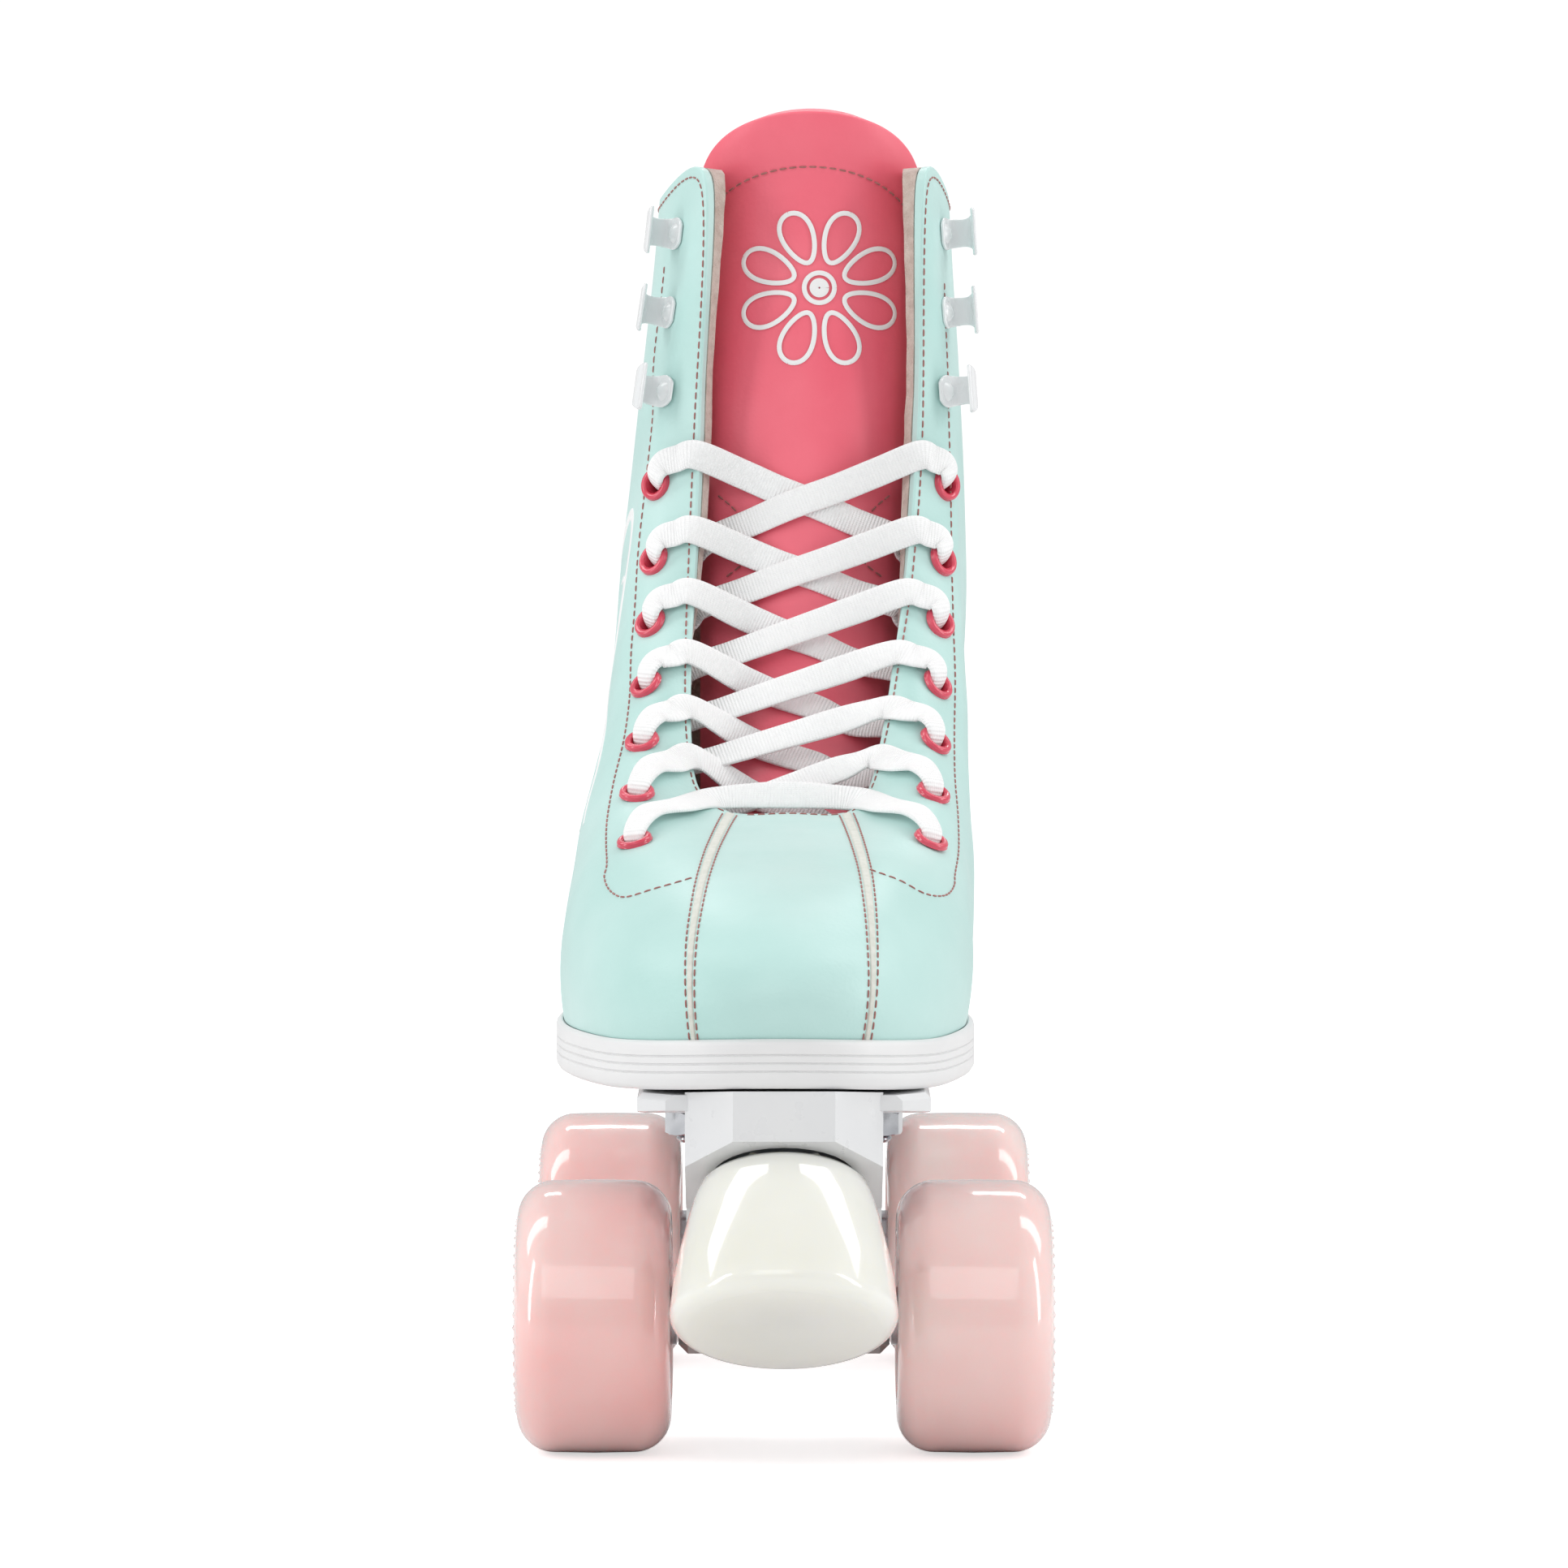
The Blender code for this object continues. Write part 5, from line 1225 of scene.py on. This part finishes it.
def make_sole():
    """The grooved outsole and the stacked heel under it."""
    def sole_top(y):
        return sole_height(y) - 0.35 * MM

    def sole_bottom(y):
        return sole_height(y) - LAYER_GAP - SOLE_THICK

    def block_top(y):
        return sole_bottom(y) - GAP

    def block_bottom(y):
        return np.full(len(y), PLATE_TOP + GAP)

    sole_slab("grooved_outsole", ["outsole"], 0, 0.0, sole_top, sole_bottom,
              grooved(SOLE_LIP, (0.74, 0.56, 0.38), 0.35 * MM, 0.028), "sole_white")
    sole_slab("stacked_heel", ["heel_block"], 6.5, -1.2 * MM, block_top, block_bottom,
              grooved(0.0, (0.66, 0.33), 0.3 * MM, 0.02), "sole_white")


# ---- plate, trucks and wheels -------------------------------------------------------------------


def softened(node, look, width, body, segments=3, angle=28):
    """The node's own shape with its hard edges rounded."""
    source = frame["nodes"][node]
    bm = bmesh.new()
    bm.from_mesh(source.data)
    bmesh.ops.remove_doubles(bm, verts=bm.verts, dist=2e-6)
    bmesh.ops.dissolve_limit(
        bm, angle_limit=math.radians(1.0), verts=bm.verts, edges=bm.edges, delimit={"NORMAL"},
    )
    for face in bm.faces:
        face.smooth = True
    for edge in bm.edges:
        edge.smooth = len(edge.link_faces) == 2 and edge.calc_face_angle(0) < math.radians(angle)
    mesh = bpy.data.meshes.new(node + "_fine")
    bm.to_mesh(mesh)
    bm.free()
    obj = piece(node + "_fine", mesh, look, body, [node])
    bevel(obj, width, segments, angle)
    obj.modifiers["Bevel"].harden_normals = True
    return obj


def axis_of(joint):
    return Vector(JOINTS[joint]["axis"]).normalized()


RIBS_ON_TYRE = 48


def make_wheel(end, side):
    """Tyre with a ribbed outer face, hub, two shielded bearings and a nut, turned about the axle."""
    body = f"{end}_{side}_wheel"
    out = SIDES[side]
    centre = AXLE[end] + Vector((out * WHEEL_X, 0, 0))
    place = frame_at(centre, (out, 0, 0))
    name = f"{end}_{side}"
    half, radius, bore, shoulder = 16.5, 29.0, 16.3, 8.0
    turn = np.radians(np.linspace(0, 90, 13))
    flat_radius, flat_half = radius - shoulder, half - shoulder
    inner = [(flat_radius + shoulder * math.sin(a), -flat_half - shoulder * math.cos(a)) for a in turn]
    outer = [(flat_radius + shoulder * math.cos(a), flat_half + shoulder * math.sin(a)) for a in turn]
    profile = [(bore, -13.4), (bore + 1.6, -15.6), (bore + 2.4, -half + 0.1), *inner, (radius + 0.15, 0)]
    profile += [*outer, (20.6, half - 0.1), (20.2, half - 0.7), (17.4, half - 0.7), (17.0, half - 0.6)]
    profile = fill_profile(np.array([*profile, (bore, 14.8)]) * MM)

    def ribs(radius, height, angle):
        window = smoothstep(radius, 17.0 * MM, 17.6 * MM) * (1 - smoothstep(radius, 20.4 * MM, 21.2 * MM))
        on_face = smoothstep(height, 14.5 * MM, 15.2 * MM)
        return 0.62 * MM * window * on_face * (0.5 + 0.5 * math.cos(RIBS_ON_TYRE * angle)) ** 1.5

    turned(name + "_cast_tyre", profile, place, "wheel_pink", body, [name + "_tyre"], 216, ribs, 80)
    hub = [(16, 10.5), (16, -10.5), (14.6, -10.5), (13.4, -9.6), (11.3, -9.6), (11.3, -3.2), (8.3, -3.2),
           (8.3, 3.2), (11.3, 3.2), (11.3, 9.6), (13.4, 9.6), (14.6, 10.5)]
    turned(name + "_core", in_mm(hub, 0.5), place, "hub_white", body, [name + "_hub"], 72)
    for spot, sign in (("outer", 1), ("inner", -1)):
        middle = sign * 6.75
        here = place @ Matrix.Translation((0, 0, middle * MM))
        race = [(8.9, -3.3), (11, -3.3), (11, 3.3), (8.9, 3.3), (8.9, 2.7), (8.6, 2.7), (8.6, -2.7),
                (8.9, -2.7)]
        turned(f"{name}_{spot}_race", in_mm(race, 0.3), here, "bearing_steel", body,
               [f"{name}_{spot}_bearing"], 56)
        shield = [(6.2, -2.8), (8.5, -2.8), (8.5, 2.8), (6.2, 2.8)]
        turned(f"{name}_{spot}_seal", in_mm(shield, 0.25), here, "cup_rubber", body, (), 56)
        ring = [(4.15, -3.3), (6.1, -3.3), (6.1, 3.3), (4.15, 3.3)]
        turned(f"{name}_{spot}_inner_race", in_mm(ring, 0.3), here, "bearing_steel", body, (), 56)
    nut_place = place @ Matrix.Translation((0, 0, 10.8 * MM))
    hexagon(name + "_lock_nut", 13 * MM, 4.6 * MM, 4.15 * MM, nut_place, "zinc_steel", end + "_truck",
            [name + "_axle_nut"])
    collar = [(4.2, 4.4), (5.6, 4.4), (5.6, 5.2), (5.1, 5.8), (4.2, 5.8)]
    turned(name + "_nut_ring", in_mm(collar, 0.2), nut_place, "bearing_steel",
           end + "_truck", (), 40)


def fill_profile(profile, longest=1.2 * MM):
    """The profile with points added so that no step is longer than this."""
    result = []
    for a, b in zip(profile, np.roll(profile, -1, axis=0)):
        steps = max(int(np.linalg.norm(b - a) / longest), 1)
        result += [a + (b - a) * f for f in np.arange(steps) / steps]
    return np.array(result)


def hexagon(name, flats, height, bore, place, look, body, stands_for=(), chamfer=0.9 * MM):
    """A hexagon nut or bolt head with its corners turned off at both ends. bore 0 makes a head."""
    sides, per_side = 6, 8
    angles = np.linspace(0, 2 * math.pi, sides * per_side, endpoint=False)
    apothem = 0.5 * flats
    local = (angles % (2 * math.pi / sides)) - math.pi / sides
    edge = apothem / np.cos(local)
    inside = np.minimum(edge, apothem * 1.005)
    over = edge - inside
    levels = [(inside, 0.0), (edge, np.minimum(chamfer, over * 0.6 + 0.05 * MM)),
              (edge, height - np.minimum(chamfer, over * 0.6 + 0.05 * MM)), (inside, height)]
    hollow = np.full(len(angles), max(bore, 0.0))
    if bore > 0:
        levels += [(hollow + 0.4 * MM, height), (hollow, height - 0.4 * MM), (hollow, 0.4 * MM),
                   (hollow + 0.4 * MM, 0.0)]
    rings = []
    for radius, level in levels:
        z = np.broadcast_to(level, angles.shape)
        rings.append(np.stack([radius * np.cos(angles), radius * np.sin(angles), z], axis=1))
    points = np.stack(rings, axis=1)
    count, deep = points.shape[:2]
    faces = grid_faces(count, deep, around=bore > 0, loop=True)
    if bore <= 0:
        faces += [tuple(i * deep for i in range(count)), tuple(i * deep + deep - 1 for i in range(count))]
    mesh = mesh_of_faces(name, points.reshape(-1, 3), faces, sharp=28)
    mesh.transform(place)
    return piece(name, mesh, look, body, stands_for)


def make_truck(end):
    """The cushions, washer, kingpin, pivot cup, axle and hanger of one truck."""
    steer = axis_of(end + "_truck_steer")
    pivot = Vector(JOINTS[end + "_truck_steer"]["pos_m"])
    outward_y = -1 if end == "front" else 1
    kingpin = Vector((0, -outward_y * steer.z, abs(steer.y)))
    place = frame_at(pivot, kingpin)
    truck = end + "_truck"
    upper_cushion = [(5.1, 3.3), (10.2, 3.3), (11, 4.1), (11, 5.2), (10, 8.5), (11, 11.8), (11, 12.9),
                     (10.2, 13.7), (5.1, 13.7)]
    turned(end + "_barrel_cushion", in_mm(upper_cushion, 0.9), place, "cushion_urethane",
           "skate", [end + "_upper_cushion"], 64, sharp=60)
    lower_cushion = [(5.1, -12), (8.4, -12), (9, -11.4), (11, -5.2), (11, -4.1), (10.2, -3.3), (5.1, -3.3)]
    turned(end + "_cone_cushion", in_mm(lower_cushion, 0.7), place, "cushion_urethane",
           "skate", [end + "_lower_cushion"], 64, sharp=60)
    washer = [(5.1, -13.8), (10, -13.8), (10, -12.3), (5.1, -12.3)]
    turned(end + "_dished_washer", in_mm(washer, 0.4), place, "zinc_steel", "skate",
           [end + "_cushion_washer"], 56)
    shank = [(0, 30), (4.2, 30), (4.75, 29.4), (4.75, -14.4), (0, -14.4)]
    turned(end + "_kingpin_shank", np.array(shank) * MM, place, "zinc_steel", "skate",
           [end + "_kingpin"], 40)
    hexagon(end + "_kingpin_head", 16 * MM, 7 * MM, 0, place @ Matrix.Translation((0, 0, -21.1 * MM)),
            "zinc_steel", "skate")
    tip = 57.0
    axle = [(0, tip), (3.3, tip), (3.9, tip - 0.6), (3.9, 29.6), (6.2, 29.6), (6.2, 22.9), (3.9, 22.9)]
    axle = [(radius, -along) for radius, along in axle] + axle[::-1]
    turned(end + "_turned_axle", np.array(axle) * MM, frame_at(AXLE[end], (1, 0, 0)), "zinc_steel", truck,
           [end + "_axle"], 40)
    softened(end + "_hanger", "truck_aluminium", 0.7 * MM, truck)
    softened(end + "_pivot_cup", "cup_rubber", 0.3 * MM, "skate", 2)


def make_toe_stop():
    """A rounded cone of cloudy urethane on its stem, with the nut that locks it."""
    axis = Vector((0, 0.5, math.sqrt(0.75)))
    face = Vector((0, FRONT_Y - 61.7 * MM, 33.6 * MM))
    place = frame_at(face, axis)
    rim, radius = 3.5, 23.5
    turn = np.radians(np.linspace(-90, 5, 16))
    arc = [(radius - rim + rim * math.cos(a), rim + rim * math.sin(a)) for a in turn]
    profile = [(0, 0.5), (4, 0.42), (10, 0.2), (15, 0.05)] + arc
    profile += [(22.9, 10), (21.7, 16.5), (20, 24), (18.5, 29), (17.6, 31.4), (16.2, 32.8), (14.4, 33.3),
                (8.3, 33.35), (8.3, 8.7), (0, 8.7)]
    turned("cone_toe_stop", np.array(profile) * MM, place, "stop_rubber", "skate", ["toe_stop"], 128,
           sharp=60)
    stem = [(0, 49.85), (7.3, 49.85), (7.9, 49.2)]
    for k in range(25):  # thread crests below the plate
        z = 48.9 - 1.5 * k
        stem += [(7.9, z), (7.3, z - 0.75)]
    stem += [(7.9, 10), (7.9, 9), (0, 9)]
    turned("threaded_stem", np.array(stem) * MM, place, "zinc_steel", "skate", ["toe_stop_stem"], 56)
    nut_place = place @ Matrix.Translation((0, 0, 33.65 * MM))
    hexagon("toe_stop_lock_nut", 24 * MM, 5.5 * MM, 8.2 * MM, nut_place, "zinc_steel", "skate",
            ["toe_stop_nut"])


def make_bolt(end, side):
    """Shank with a domed end, washer and nut under the plate's flange, and the head in the boot."""
    node = f"plate_bolt_{end}_{side}"
    low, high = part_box(node)
    x, y = 0.5 * (low.x + high.x), 0.5 * (low.y + high.y)
    under = PLATE_TOP - 6.5 * MM
    place = frame_at((x, y, 0), (0, 0, 1))
    head = high.z
    shank = [(0, low.z), (2.2 * MM, low.z), (3 * MM, low.z + 0.7 * MM)]
    z = low.z + 1.0 * MM
    while z < under - 7 * MM:
        shank += [(3 * MM, z), (2.65 * MM, z + 0.5 * MM)]
        z += 1.0 * MM
    shank += [(3 * MM, z), (3 * MM, head - 2 * MM), (4.2 * MM, head - 2 * MM), (4.0 * MM, head - 0.6 * MM),
              (2.6 * MM, head), (0, head)]
    turned(node + "_shank", shank, place, "zinc_steel", "skate", [node], 32)
    washer = [(3.3, 0), (7.4, 0), (7.4, 1.2), (3.3, 1.2)]
    turned(node + "_washer", in_mm(washer, 0.25), frame_at((x, y, under - 1.5 * MM), (0, 0, 1)),
           "zinc_steel", "skate", (), 48)
    hexagon(node + "_nut", 10 * MM, 5.0 * MM, 3.1 * MM, frame_at((x, y, under - 6.7 * MM), (0, 0, 1), 0.35),
            "zinc_steel", "skate")


def finish_inside():
    """The CAD nodes whose own shape shows take their materials."""
    for node, look in (("footbed", "footbed_foam"), ("heel_counter", "stiffener_board")):
        slots = frame["nodes"][node].data.materials
        slots.clear()
        slots.append(LOOKS[look])


def main():
    make_camera()
    make_studio()
    make_upper()
    make_ribbon()
    make_seams()
    make_tongue()
    make_motif()
    for side in SIDES:
        make_eyelets(side)
        for number, spot in enumerate(HOOK_SPOTS[side], start=1):
            make_hook(side, number, spot)
    make_lace()
    make_sole()
    softened("plate", "plate_white", 0.8 * MM, "skate")
    make_toe_stop()
    for end in ENDS:
        make_truck(end)
        for side in SIDES:
            make_wheel(end, side)
            make_bolt(end, side)
    finish_inside()


main()
